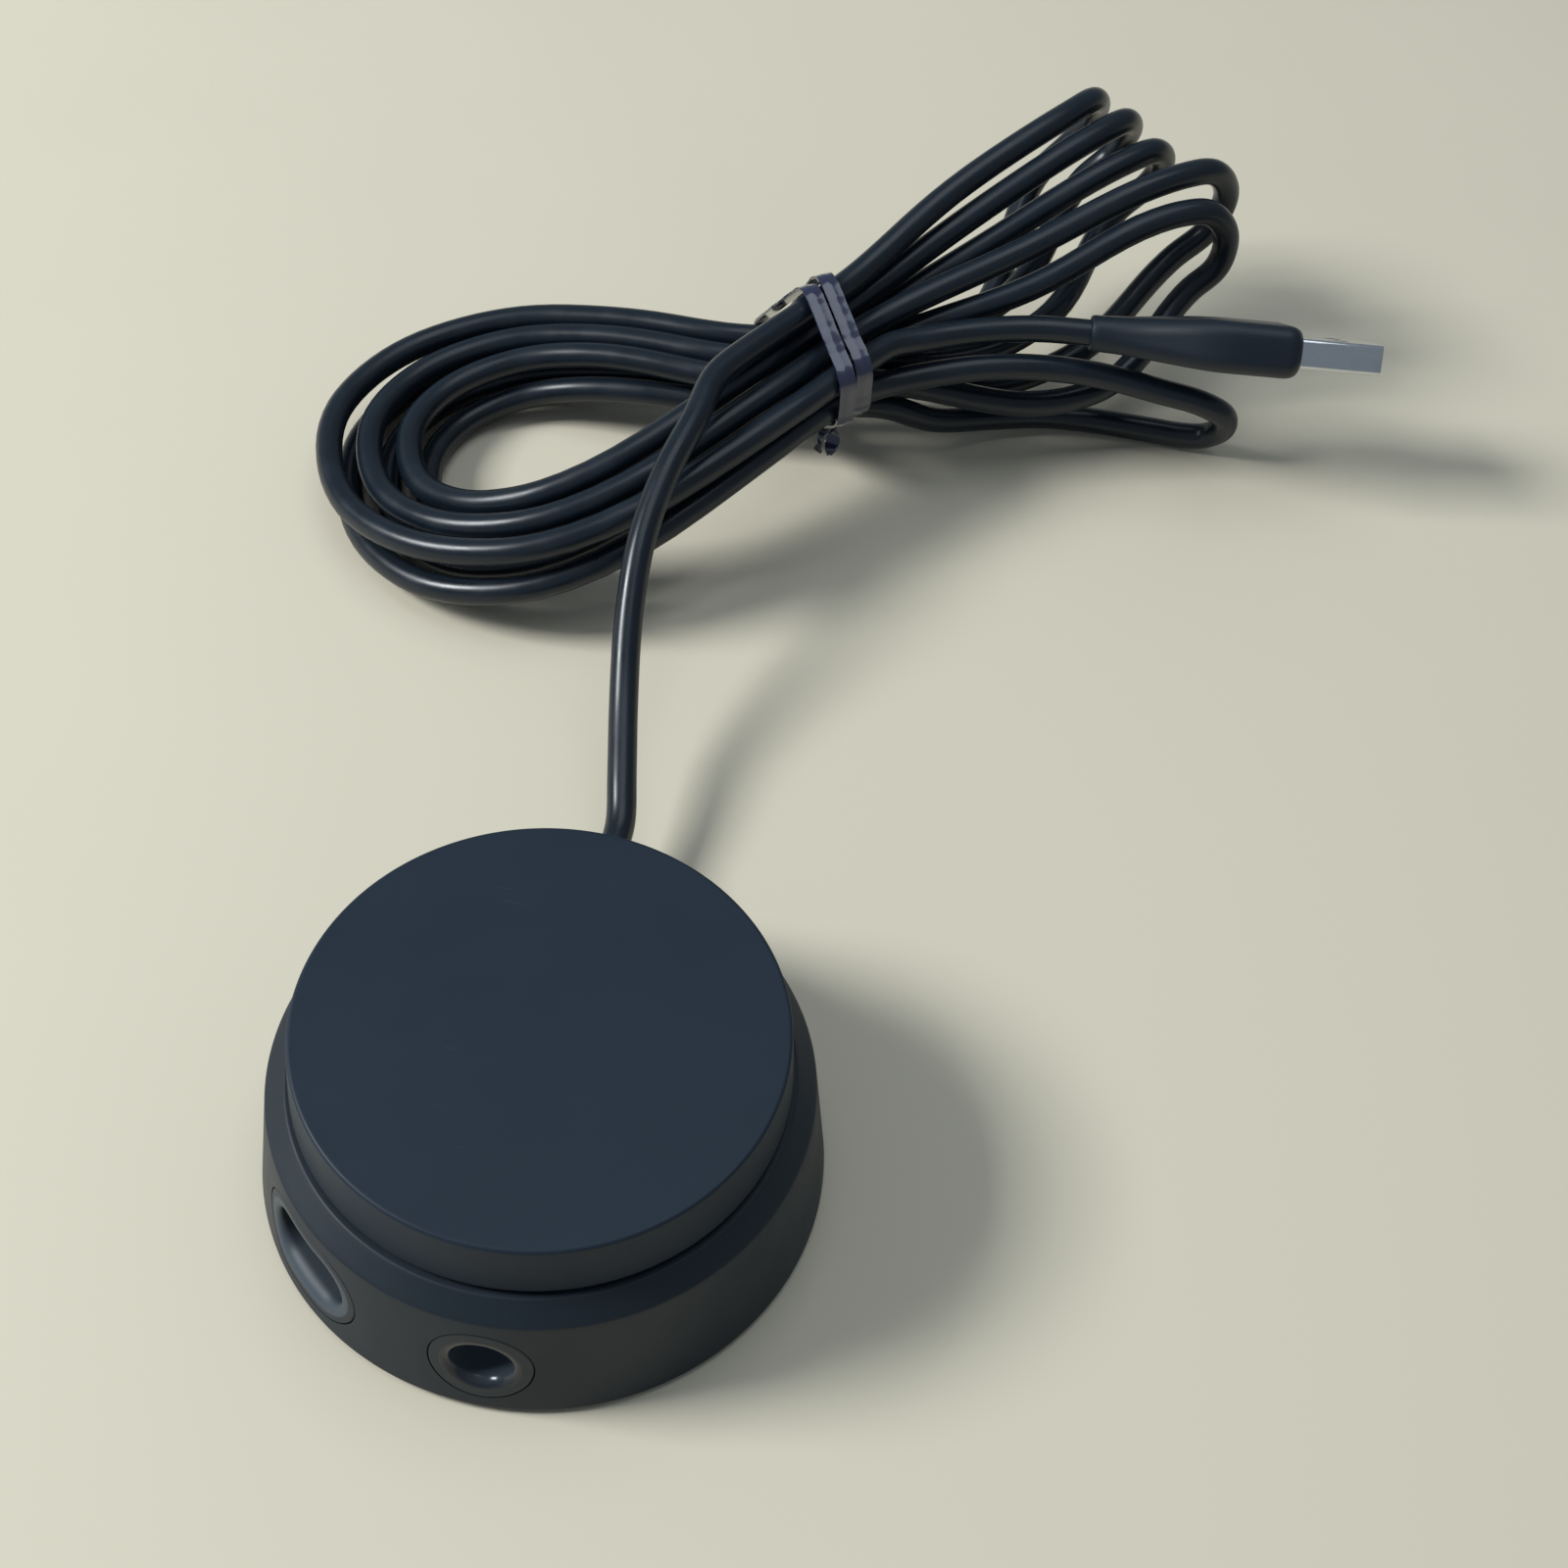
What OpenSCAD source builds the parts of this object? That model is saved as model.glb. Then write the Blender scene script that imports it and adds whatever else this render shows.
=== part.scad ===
// Round desk dial for volume on the end of a USB lead: a press dial on a flared base with two front
// sockets, and a lead whose length is folded into a tied hank. Millimetres, Z up, origin at the middle
// of the base on the table. The cord leaves along +Y and the round socket faces -Y.

/* [Base] */
// Diameter of the base at its foot
base_d = 69; // [67:0.5:75]
// How far the base wall leans in on each side, from foot to shoulder
wall_lean = 2; // [0.5:0.1:3]
// How far the slanting shoulder leans in on each side, up to the deck
shoulder_in = 2.5; // [1.5:0.1:3.5]
// Height of the deck above the table
deck_z = 19.6; // [18.5:0.1:22]
// Height of the slanting shoulder
shoulder_h = 2.3; // [1.5:0.1:3]
// Thickness of the base wall
wall = 2.6; // [2:0.1:3]
// Thickness of the deck
deck_t = 2.2; // [1.6:0.1:2.6]
// Thickness of the bottom cover
cover_t = 1.8; // [1.6:0.1:2]
// Height of the foot ring that shows under the base
foot_h = 0.6; // [0.4:0.1:0.8]
// Depth of the foot ring's groove in the cover
foot_groove = 0.6; // [0.4:0.1:0.7]
// Outer diameter of the foot ring
foot_d = 46; // [40:1:48]
// Width of the foot ring's band
foot_w = 5; // [3:0.5:6]

/* [Dial] */
// Diameter of the dial across its flat top
dial_d = 58; // [54:0.5:60]
// How much wider the dial is at its rim than at its top
dial_flare = 1; // [0:0.1:2]
// Height of the dial from rim to top
dial_h = 8; // [7.5:0.1:12]
// Rounding of the dial's top edge
dial_edge = 0.5; // [0.4:0.1:1.5]
// Thickness of the dial's side wall
dial_wall = 2.2; // [1.4:0.1:3]
// Thickness of the dial's top
dial_top_t = 2; // [1.4:0.1:2.4]
// Gap between the dial's rim and the deck at rest
dial_gap = 0.8; // [0.8:0.1:1.2]
// How far the dial presses down
press_travel = 0.5; // [0.3:0.05:0.5]
// Diameter of the hub insert in the dial
hub_d = 10; // [9:0.5:12]

/* [Encoder] */
// Diameter of the encoder's shaft
shaft_d = 6; // [5:0.5:6]
// Depth of the flat on the shaft
shaft_flat = 1.5; // [1:0.1:2]
// Side of the encoder's square body
encoder_w = 12.4; // [11:0.2:14]
// Height of the encoder's body
encoder_h = 6.6; // [6:0.1:7]
// Diameter of the threaded bushing
bushing_d = 9; // [8:0.5:10]
// Thickness of the deck under the nut
seat_t = 4; // [3.4:0.1:4.4]
// Width of the nut across its flats
nut_af = 13; // [12:0.5:14]
// Thickness of the nut
nut_t = 2; // [1.5:0.1:2]
// Thickness of the washer
washer_t = 0.5; // [0.3:0.1:0.6]

/* [Sockets] */
// Height of the two sockets' centre line
socket_z = 9; // [8.8:0.1:9.2]
// Outer height of the socket inserts
insert_h = 12.2; // [11:0.1:12.4]
// Outer width of the wide socket's insert
wide_insert_w = 18.4; // [16:0.2:19]
// Gap line between each insert and the base wall
insert_gap = 0.15; // [0.05:0.05:0.3]
// Diameter of the round recess
round_recess_d = 7.2; // [6.4:0.1:7.6]
// Width of the wide recess
wide_recess_w = 13.4; // [12:0.2:14]
// Height of the wide recess
wide_recess_h = 7.4; // [6:0.1:7.6]
// Flare of the recess lips
lip = 0.8; // [0.4:0.1:1]
// Depth of the inserts behind the base's face
insert_depth = 9; // [8.5:0.1:9.5]
// Floor thickness of the round insert
insert_floor = 2; // [1.5:0.1:2.5]
// Bore of the headphone jack
jack_bore = 3.6; // [3.5:0.05:3.8]
// Turn of the wide socket to the left of the round one, in degrees
wide_angle = 43.5; // [42:0.5:48]

/* [Board] */
// Thickness of the circuit board
board_t = 1.6; // [1:0.1:2]
// Height of the posts that carry the board
post_h = 2; // [1.6:0.1:2.2]

/* [Cord] */
// Diameter of the cord
cord_d = 4; // [3.4:0.1:4]
// Pitch of the strands at the tie
strand_pitch = 4.9; // [4.8:0.05:5]
// Height of the cord's exit
cord_z = 8; // [7.5:0.1:8.5]
// Length of the strain relief outside the base
gland_len = 6; // [5:0.5:8]
// Width of each band of the tie
tie_w = 2.9; // [2.4:0.1:3]
// Thickness of the tie
tie_t = 0.6; // [0.4:0.1:0.8]

/* [Plug] */
// Length of the plug's overmould
overmould_len = 31; // [28:1:36]
// Width of the overmould at its front
overmould_w = 15.4; // [14:0.2:17]
// Thickness of the overmould at its front
overmould_t = 7.8; // [7:0.1:9]
// Width of the metal shell
shell_w = 12; // [11.8:0.1:12.2]
// Thickness of the metal shell
shell_t = 4.5; // [4.4:0.1:4.6]
// Length of the metal shell that shows
shell_len = 12; // [11:0.5:13]
// Sheet thickness of the metal shell
shell_wall = 0.3; // [0.2:0.05:0.4]

/* [Hidden] */
$fn = 96;

// Clearance of pieces that are fitted together, and of the turning shaft in its bushing
fit = 0.05;
eps = 0.01;

// Base heights and radii
base_r = base_d / 2;
shoulder_r = base_r - wall_lean;
deck_r = shoulder_r - shoulder_in;
shoulder_z = deck_z - shoulder_h;
cover_top = foot_h + cover_t;
cover_rebate = 1.2;
cover_gap = 0.2;
base_bevel = 0.5;
function outer_r(z) = base_r - (base_r - shoulder_r) * (z - foot_h) / (shoulder_z - foot_h);
function inner_r(z) = outer_r(z) - wall;
cover_r = inner_r(cover_top) + cover_rebate;
ceiling_z = deck_z - deck_t;

// Board and encoder heights
board_z = cover_top + post_h;
board_top = board_z + board_t;
encoder_top = board_top + encoder_h;
seat_z = encoder_top + seat_t;
nut_z = seat_z + washer_t;
bushing_top = nut_z + nut_t + 0.4;
well_r = nut_af / sqrt(3) + 1.4;
well_wall = 1.8;

// Dial heights
rim_z = deck_z + dial_gap;
dial_top = rim_z + dial_h;
dial_under = dial_top - dial_top_t;
hub_z = bushing_top + press_travel + 0.4;
hub_boss_wall = 1.6;
shaft_r = shaft_d / 2;
shaft_z = board_top + 2.6;
shaft_top = dial_under - 0.2;
plunger_r = shaft_r + 1;
plunger_t = 1.2;
plunger_z = shaft_z - 0.1 - plunger_t;
dome_t = 0.15;
dome_z = plunger_z - press_travel - 0.1 - dome_t;
chamber_gap = 0.25;

// Sockets
socket_face = outer_r(socket_z);
insert_back = socket_face - insert_depth;
round_floor = insert_back + insert_floor;
board_gap = 0.6;
board_r = insert_back - board_gap;
jack_w = 6.8;
jack_len = 13.5;
jack_nose_d = 5.6;
jack_tab = [0.3, 1.6, 3];
jack_tab_step = 6;
jack_front = insert_back - 0.1;
core_w = 15;
core_len = 8;
core_lap = 0.5;
core_plate = 0.4;
pad = 0.8;
pad_step = 2.4;

// Screws
boss_r = 3;
boss_angles = [45, 135, 186, 318];
boss_seat = 0.4;
boss_place = inner_r(cover_top) + boss_seat - boss_r;
boss_h = 9;
boss_top = cover_top + boss_h;
cover_screw_d = 2.4;
cover_screw_len = 6.5;
cover_head_d = 4.2;
cover_head_t = 1;
post_r = 2.4;
post_angles = [20, 160, 300];
post_place = board_r - 4;
board_screw_d = 1.8;
board_screw_len = 3.6;
board_head_d = 3.4;
board_head_t = 1.2;

// Cord inlet
cord_r = cord_d / 2;
gland_r = cord_r + 1.3;
gland_flange_r = cord_r + 2.6;
gland_flange_t = 1.4;
gland_seat = sqrt(pow(inner_r(cord_z + gland_flange_r), 2) - pow(gland_flange_r, 2)) - fit;
gland_start_r = cord_r + 2.2;
gland_end_r = cord_r + 0.9;
gland_end = outer_r(cord_z) + gland_len;
// Parts on the board beside the encoder
chip_gap = 2.5;
chip = [7, 7, 1];
can_at = [5.5, 9.5];
can_r = 2;
can_h = 5.4;
crystal_gap = 3;
crystal = [3.2, 2.5, 0.8];
resistor = [0.7, 1.4, 0.6];
resistor_step = 1.2;
header_w = 10;
header_t = 5;
header_h = 5.4;
header_in = 9;
header_y = board_r - header_in;
wire_d = 1;
wire_step = 1.6;

// Hank, a figure of eight: front strands run along front_dir and cross over back strands along back_dir
front_at = [14, 124.5, 17];
back_at = [12, 136, 17];
front_dir = [0.559, 0.829, 0];
back_dir = [0.98, 0.2, 0];
front_side = [front_dir[1], -front_dir[0], 0];
back_side = [back_dir[1], -back_dir[0], 0];
up = [0, 0, 1];
turns = 6;
// Column and row of each turn's strands at the tie
turn_col = [1, -1, 0, 0, -1, 1];
turn_row = [0, 0, 1, 0, 1, 1];
lead_col = -1;
lead_row = 2;
// Half the height between the front and the back strands, and half the length of their level run
cross_half = 2.8;
level_half = 11;
// Left lobe: middle, inner radii, height of the lowest strand, and height of the upper row over the lower
left_at = [-26, 114.3];
left_rx = 17;
left_ry = 15.75;
left_z = 2.3;
left_row = 5.4;
// Growth of the left lobe from column to column and from row to row, the shares of it that show across,
// behind and in front, and how much further the lower row spreads in front
left_step = 5.6;
left_nest = 2.8;
left_across = 1.08;
left_behind = 0.83;
left_before = 0.94;
left_before_low = 4.4;
// Angles round the left lobe, and how far the strands of the lower and the upper row have sunk there
left_angles = [75, 110, 145, 180, 215, 248, 280];
left_sink = [[0.3, 0.75, 1, 1, 1, 0.85, 0.6], [0.3, 0.75, 1, 1, 1, 0.8, 0.52]];
left_turn = 3;
// Right fan: place of each turn in it, then by place the tips, the radii of the folds, the way each fold
// leans, and how far the strand bows sideways on its way out
fan_rank = [0, 0, 2, 3, 4, 1];
fan_tips = [[50.5, 177.5, 42.5], [55.3, 174.3, 41], [60.3, 170.8, 38.8], [70, 168.5, 39.2], [69.5, 161.8, 36]];
fan_fold = [9.5, 8, 8, 9.5, 7.5];
fan_lean = [[0, 0.7, -1], [0, 0.6, -1], [0.05, 0.5, -1], [0.15, 0.25, -1], [0.25, 0, -1]];
fan_bow = [-1.7, -0.8, -0.2, 0, 2];
// Where each place of the fan comes back: along the back run, above it, how far the strands open there, and
// how much of the corner is cut off on the way in and on the way out
fan_return = [25, 29, 33, 37, 43];
fan_return_rise = [2, 2, 2, 2, -5];
fan_return_open = [1.35, 1.35, 1.35, 1.35, 1];
fan_return_cut = [[0.25, 0.4], [0.25, 0.4], [0.25, 0.35], [0.25, 0.3], [0.2, 0.2]];
// The one turn that lies low to the right
low_turn = 1;
low_route = [[24, 128, 18.6], [30, 131, 18.9], [38.8, 134.3, 19.3], [50.5, 137.8, 18], [57.5, 139.5, 16.3],
             [64.9, 140.4, 14.4], [72.6, 141.1, 12.4], [75.9, 141.9, 10], [76.4, 143.3, 6.2],
             [73.9, 144.4, 3.1], [70.5, 144.6, 2.4], [66, 144.7, 2.4], [58, 144.9, 2.4],
             [49, 144.4, 2.4], [40, 141.3, 3], [31, 136.2, 5.4]];
// Free stretches of the cord, from the strain relief to the hank and from the hank to the plug
lead_route = [[0, 46, 8.2], [-1, 52, 10], [-3, 63, 13], [-4.5, 74, 18.5], [-4.7, 84, 23.5],
              [-3.3, 93.5, 27], [-1, 103, 28.8]];
tail_route = [[29, 133.2, 24], [37, 136.8, 24], [45, 139.1, 24]];
plug_at = [53, 140, 24];
plug_turn = 5;
plug_roll = 37.5;
plug_dir = [cos(plug_turn), sin(plug_turn), 0];
lead_sides = 8;
hank_sides = 6;
// Rings for each step between two points of a route
route_steps = 3;

// Tie: its plane stands across the middle direction of the crossing strands
tie_turn = 33.8;
tie_at = [13, 130.2, 17];
tie_cross = 22.3;
tie_gap = 0.25;
tie_step = tie_w + 0.4;
tie_front = 4.3;
tie_back = -6.3;
tie_inner = cord_r / cos(tie_cross) + tie_w / 2 * tan(tie_cross) + tie_gap;
tie_end_len = 5;
tie_end_sink = 0.5;
tie_end_twist = 200;
tie_end_w = 2;

// Plug pieces
overmould_end_t = cord_d + 1.4;
overmould_end_w = cord_d + 2.2;
overmould_round = 2.3;
tongue_t = 1.9;
tongue_len = shell_len - 1.2;
contact_t = 0.12;
contact_w = 1.1;
contact_step = 2.3;
shell_hole = [2, 2.4];

module obround(w, h) {
    if (w > h) square([w - h, h], center = true);
    for (s = [-1, 1]) translate([s * (w - h) / 2, 0]) circle(d = h);
}

// Solid block of the base's outside, used to cut pieces flush with its wall
module base_block(grow = 0) {
    rotate_extrude()
        polygon([[0, foot_h], [base_r - base_bevel + grow, foot_h],
                 [outer_r(foot_h + base_bevel) + grow, foot_h + base_bevel],
                 [shoulder_r + grow, shoulder_z], [deck_r + grow, deck_z], [0, deck_z]]);
}

// Turns its children so that their -Y side faces a socket
module at_socket(angle) rotate([0, 0, -angle]) children();

// Prism with an obround section that runs out along -Y from the given distance
module socket_prism(w, h, from, to) {
    translate([0, -from, socket_z]) rotate([90, 0, 0])
        linear_extrude(height = to - from) obround(w, h);
}

module base_shell() color("#2b2e33") difference() {
    union() {
        difference() {
            base_block();
            rotate_extrude()
                polygon([[0, foot_h - eps], [cover_r, foot_h - eps], [cover_r, cover_top],
                         [inner_r(cover_top), cover_top], [inner_r(ceiling_z - 1), ceiling_z - 1],
                         [inner_r(ceiling_z - 1) - 1, ceiling_z], [0, ceiling_z]]);
        }
        translate([0, 0, encoder_top]) cylinder(r = well_r + well_wall, h = deck_z - encoder_top - eps);
        for (a = boss_angles) rotate([0, 0, a]) translate([boss_place, 0, cover_top])
            cylinder(r = boss_r, h = boss_top - cover_top);
    }
    translate([0, 0, seat_z]) cylinder(r = well_r, h = deck_z - seat_z + 1);
    translate([0, 0, encoder_top - 1]) cylinder(d = bushing_d + 2 * fit, h = seat_t + 2);
    for (a = boss_angles) rotate([0, 0, a]) translate([boss_place, 0, cover_top - 1])
        cylinder(d = cover_screw_d + 2 * fit, h = cover_screw_len);
    at_socket(0)
        socket_prism(insert_h + 2 * insert_gap, insert_h + 2 * insert_gap, insert_back, base_r + 1);
    at_socket(wide_angle)
        socket_prism(wide_insert_w + 2 * insert_gap, insert_h + 2 * insert_gap, insert_back, base_r + 1);
    translate([0, gland_seat - 2, cord_z]) rotate([-90, 0, 0])
        cylinder(r = gland_r + fit, h = base_r - gland_seat + 4);
}

module bottom_cover() color("#222428") difference() {
    union() {
        translate([0, 0, foot_h]) cylinder(r = cover_r - cover_gap, h = cover_t);
        for (a = post_angles) rotate([0, 0, a]) translate([post_place, 0, cover_top - eps])
            cylinder(r = post_r, h = post_h + eps);
    }
    translate([0, 0, foot_h - eps]) foot_band(foot_groove + eps, fit);
    for (a = boss_angles) rotate([0, 0, a]) translate([boss_place, 0, foot_h - eps]) {
        cylinder(d = cover_screw_d + 2 * fit, h = cover_t + 1);
        cylinder(d = cover_head_d + 0.4, h = cover_head_t + eps);
    }
    for (a = post_angles) rotate([0, 0, a])
        translate([post_place, 0, board_top - board_screw_len - 0.3])
            cylinder(d = board_screw_d + 2 * fit, h = board_screw_len + 1);
}

module foot_band(h, grow = 0) {
    difference() {
        cylinder(d = foot_d + 2 * grow, h = h);
        translate([0, 0, -1]) cylinder(d = foot_d - 2 * foot_w - 2 * grow, h = h + 2);
    }
}

module foot_ring() color("#17181a") foot_band(foot_h + foot_groove);

// Pan head screw: head below z = 0 and shank above it, with a cross recess
module pan_screw(shank_d, shank_len, head_d, head_t) {
    difference() {
        union() {
            translate([0, 0, -head_t]) cylinder(d = head_d, h = head_t);
            translate([0, 0, -eps]) cylinder(d = shank_d, h = shank_len + eps);
        }
        for (a = [0, 90]) rotate([0, 0, a]) translate([0, 0, -head_t])
            cube([head_d * 0.6, head_d * 0.16, head_t], center = true);
    }
}

module cover_screws() color("#8d9196")
    for (a = boss_angles) rotate([0, 0, a]) translate([boss_place, 0, foot_h + cover_head_t])
        pan_screw(cover_screw_d, cover_screw_len - 1, cover_head_d, cover_head_t);

module circuit_board() color("#1d5a3a") difference() {
    translate([0, 0, board_z]) cylinder(r = board_r, h = board_t);
    for (a = post_angles) rotate([0, 0, a]) translate([post_place, 0, board_z - 1])
        cylinder(d = board_screw_d + 2 * fit, h = board_t + 2);
}

module board_screws() color("#a9adb2")
    for (a = post_angles) rotate([0, 0, a]) translate([post_place, 0, board_top]) rotate([180, 0, 0])
        pan_screw(board_screw_d, board_screw_len, board_head_d, board_head_t);

module encoder_body() color("#3a3d42") difference() {
    translate([-encoder_w / 2, -encoder_w / 2, board_top]) cube([encoder_w, encoder_w, encoder_h]);
    translate([0, 0, dome_z]) cylinder(r = plunger_r + chamber_gap, h = shaft_z - dome_z);
    translate([0, 0, shaft_z - eps]) cylinder(r = shaft_r + fit, h = encoder_h);
}

module encoder_bushing() color("#b9bdc2") difference() {
    translate([0, 0, encoder_top]) cylinder(d = bushing_d, h = bushing_top - encoder_top);
    translate([0, 0, encoder_top - 1]) cylinder(r = shaft_r + fit, h = bushing_top - encoder_top + 2);
}

module encoder_washer() color("#c9ccd0") difference() {
    translate([0, 0, seat_z]) cylinder(d = nut_af + 1, h = washer_t);
    translate([0, 0, seat_z - 1]) cylinder(d = bushing_d + 2 * fit, h = washer_t + 2);
}

module encoder_nut() color("#b0b4b9") difference() {
    translate([0, 0, nut_z]) cylinder(d = nut_af * 2 / sqrt(3), h = nut_t, $fn = 6);
    translate([0, 0, nut_z - 1]) cylinder(d = bushing_d + 2 * fit, h = nut_t + 2);
}

module push_dome() color("#c4c7cb")
    translate([0, 0, dome_z]) cylinder(r = plunger_r - 0.4, h = dome_t);

module switch_plunger() color("#d8d4c8")
    translate([0, 0, plunger_z]) cylinder(r = plunger_r, h = plunger_t);

// Shaft section with its flat
module shaft_section(grow = 0) {
    difference() {
        circle(r = shaft_r + grow);
        translate([shaft_r - shaft_flat + grow, -shaft_d]) square([shaft_d, 2 * shaft_d]);
    }
}

module encoder_shaft() color("#c2c5c9") {
    translate([0, 0, shaft_z]) cylinder(r = shaft_r, h = hub_z - shaft_z);
    translate([0, 0, hub_z - eps]) linear_extrude(height = shaft_top - hub_z + eps) shaft_section();
}

module dial_hub() color("#c9a24a") difference() {
    translate([0, 0, hub_z]) cylinder(d = hub_d, h = dial_under - hub_z);
    translate([0, 0, hub_z - 1]) linear_extrude(height = dial_under - hub_z + 2) shaft_section(fit);
}

module dial_cap() color("#2d333a") difference() {
    rotate_extrude()
        polygon(concat([[0, rim_z], [(dial_d + dial_flare) / 2 - 0.3, rim_z],
                        [(dial_d + dial_flare) / 2, rim_z + 0.3]],
                       [for (a = [0:15:90])
                            [dial_d / 2 - dial_edge + dial_edge * cos(a),
                             dial_top - dial_edge + dial_edge * sin(a)]],
                       [[0, dial_top]]));
    difference() {
        translate([0, 0, rim_z - 1]) cylinder(d = dial_d - 2 * dial_wall, h = dial_under - rim_z + 1);
        translate([0, 0, hub_z + 1]) cylinder(d = hub_d + 2 * fit + 2 * hub_boss_wall, h = dial_h);
    }
    translate([0, 0, rim_z - 1]) cylinder(d = hub_d + 2 * fit, h = dial_under - rim_z + 1);
}

module round_socket_insert() color("#1b1c1f") difference() {
    intersection() {
        base_block();
        socket_prism(insert_h, insert_h, insert_back, base_r + 1);
    }
    translate([0, -round_floor, socket_z]) rotate([90, 0, 0]) {
        cylinder(d = round_recess_d, h = base_r);
        translate([0, 0, socket_face - round_floor - lip])
            cylinder(d1 = round_recess_d, d2 = round_recess_d + 4 * lip, h = 2 * lip);
    }
    translate([0, -insert_back + 1, socket_z]) rotate([90, 0, 0])
        cylinder(d = jack_nose_d + 2 * fit, h = insert_floor + 2);
}

module jack_body() color("#26282c") difference() {
    union() {
        translate([-jack_w / 2, -jack_front, board_top])
            cube([jack_w, jack_len, 2 * (socket_z - board_top)]);
        translate([0, -jack_front + eps, socket_z]) rotate([90, 0, 0])
            cylinder(d = jack_nose_d, h = round_floor - jack_front + eps);
    }
    translate([0, -jack_front + jack_len - 1.5, socket_z]) rotate([90, 0, 0])
        cylinder(d = jack_bore, h = base_r);
}

module jack_tabs() color("#c8a95a")
    for (s = [-1, 1], k = [0, 1])
        translate([(s * (jack_w + jack_tab[0]) - jack_tab[0]) / 2,
                   -jack_front + (k + 0.5) * jack_tab_step, board_top])
            cube(jack_tab);

// Flared mouth of the wide recess
module wide_mouth() {
    depth = 2 * lip;
    for (s = [-1, 1])
        translate([s * (wide_recess_w - wide_recess_h) / 2, -socket_face + lip, socket_z])
            rotate([90, 0, 0]) cylinder(d1 = wide_recess_h, d2 = wide_recess_h + 4 * lip, h = depth);
    translate([-(wide_recess_w - wide_recess_h) / 2, -socket_face + lip, socket_z]) rotate([90, 0, 90])
        linear_extrude(height = wide_recess_w - wide_recess_h)
            polygon([[0, -wide_recess_h / 2], [0, wide_recess_h / 2],
                     [-depth, wide_recess_h / 2 + 2 * lip], [-depth, -wide_recess_h / 2 - 2 * lip]]);
}

module wide_socket_insert() color("#1b1c1f") at_socket(wide_angle) difference() {
    intersection() {
        base_block();
        socket_prism(wide_insert_w, insert_h, insert_back, base_r + 1);
    }
    socket_prism(wide_recess_w, wide_recess_h, insert_back - 1, base_r + 2);
    wide_mouth();
}

module wide_socket_core() color("#26282c") at_socket(wide_angle) {
    translate([-core_w / 2, -insert_back, socket_z - wide_recess_h / 2 - core_lap])
        cube([core_w, core_plate, wide_recess_h + 2 * core_lap]);
    translate([-core_w / 2, -insert_back + core_plate - eps, board_top])
        cube([core_w, core_len, socket_z + wide_recess_h / 2 + core_lap - board_top]);
}

module wide_socket_contacts() color("#d0b264") at_socket(wide_angle)
    for (i = [-1.5:1:1.5], j = [-0.5, 0.5])
        translate([i * pad_step - pad / 2, -insert_back - pad, socket_z + j * pad_step - pad / 2])
            cube([pad, pad, pad]);

module audio_chip() color("#1f2124")
    translate([encoder_w / 2 + chip_gap, -chip[1] / 2, board_top]) cube(chip);

module board_parts() {
    color("#3c4a63") for (s = [-1, 1])
        translate([s * (encoder_w / 2 + can_at[0]), can_at[1], board_top])
            cylinder(r = can_r, h = can_h, $fn = 48);
    translate([-encoder_w / 2 - crystal_gap - crystal[0], 0, board_top]) {
        color("#b7babd") translate([0, -crystal[1], 0]) cube(crystal);
        color("#7d6b55") for (k = [0:3]) translate([k * resistor_step, crystal[1], 0]) cube(resistor);
    }
}

module wire_header() color("#e6e2d6")
    translate([-header_w / 2, header_y, board_top]) cube([header_w, header_t, header_h]);

module inner_wires() color("#a33a34")
    for (i = [-1.5:1:1.5])
        translate([i * wire_step, header_y + header_t, cord_z]) rotate([-90, 0, 0])
            cylinder(d = wire_d, h = gland_seat - gland_flange_t - header_y - header_t, $fn = 24);

module cord_gland() color("#1d1e21") {
    translate([0, gland_seat - gland_flange_t, cord_z]) rotate([-90, 0, 0])
        cylinder(r = gland_flange_r, h = gland_flange_t);
    translate([0, gland_seat - eps, cord_z]) rotate([-90, 0, 0])
        cylinder(r = gland_r, h = outer_r(cord_z) + 1 - gland_seat);
    difference() {
        translate([0, outer_r(cord_z) - 2, cord_z]) rotate([-90, 0, 0])
            cylinder(r1 = gland_start_r, r2 = gland_end_r, h = gland_len + 2);
        difference() {
            base_block(fit);
            translate([0, 0, cord_z]) rotate([-90, 0, 0]) cylinder(r = gland_r - eps, h = base_r + 1);
        }
    }
}

// Curves: smooth passage through route points, with slopes that allow for uneven spacing, and with a
// straight first and last step
function unit(v) = v / norm(v);
function slope(p, i) =
    let (a = norm(p[i] - p[i - 1]), b = norm(p[i + 1] - p[i]))
    ((p[i] - p[i - 1]) * b / a + (p[i + 1] - p[i]) * a / b) / (a + b);
function curve(p, n) =
    let (last = len(p) - 1, m = concat([unit(p[1] - p[0])], [for (i = [1:last - 1]) slope(p, i)],
                                       [unit(p[last] - p[last - 1])]))
    concat([p[0]],
        [for (i = [1:last - 2]) let (d = norm(p[i + 1] - p[i]), a = i == 1 ? m[0] : m[i],
                                     b = i == last - 2 ? m[last] : m[i + 1])
            for (k = [0:n - 1]) let (t = k / n)
                (2 * t * t * t - 3 * t * t + 1) * p[i] + (t * t * t - 2 * t * t + t) * d * a +
                (3 * t * t - 2 * t * t * t) * p[i + 1] + (t * t * t - t * t) * d * b],
        [p[last - 1], p[last]]);

// Direction of a polyline at one of its points, and side vectors carried along without twist
function heading(q, i) =
    i == 0 ? unit(q[1] - q[0]) :
    i == len(q) - 1 ? unit(q[i] - q[i - 1]) : unit(unit(q[i + 1] - q[i]) + unit(q[i] - q[i - 1]));
function square_to(v, t) = unit(v - t * (v * t));
function sides_of(q, first) =
    [for (i = 0, u = square_to(first, heading(q, 0)); i < len(q);
          i = i + 1, u = i < len(q) ? square_to(u, heading(q, i)) : u) u];

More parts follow.
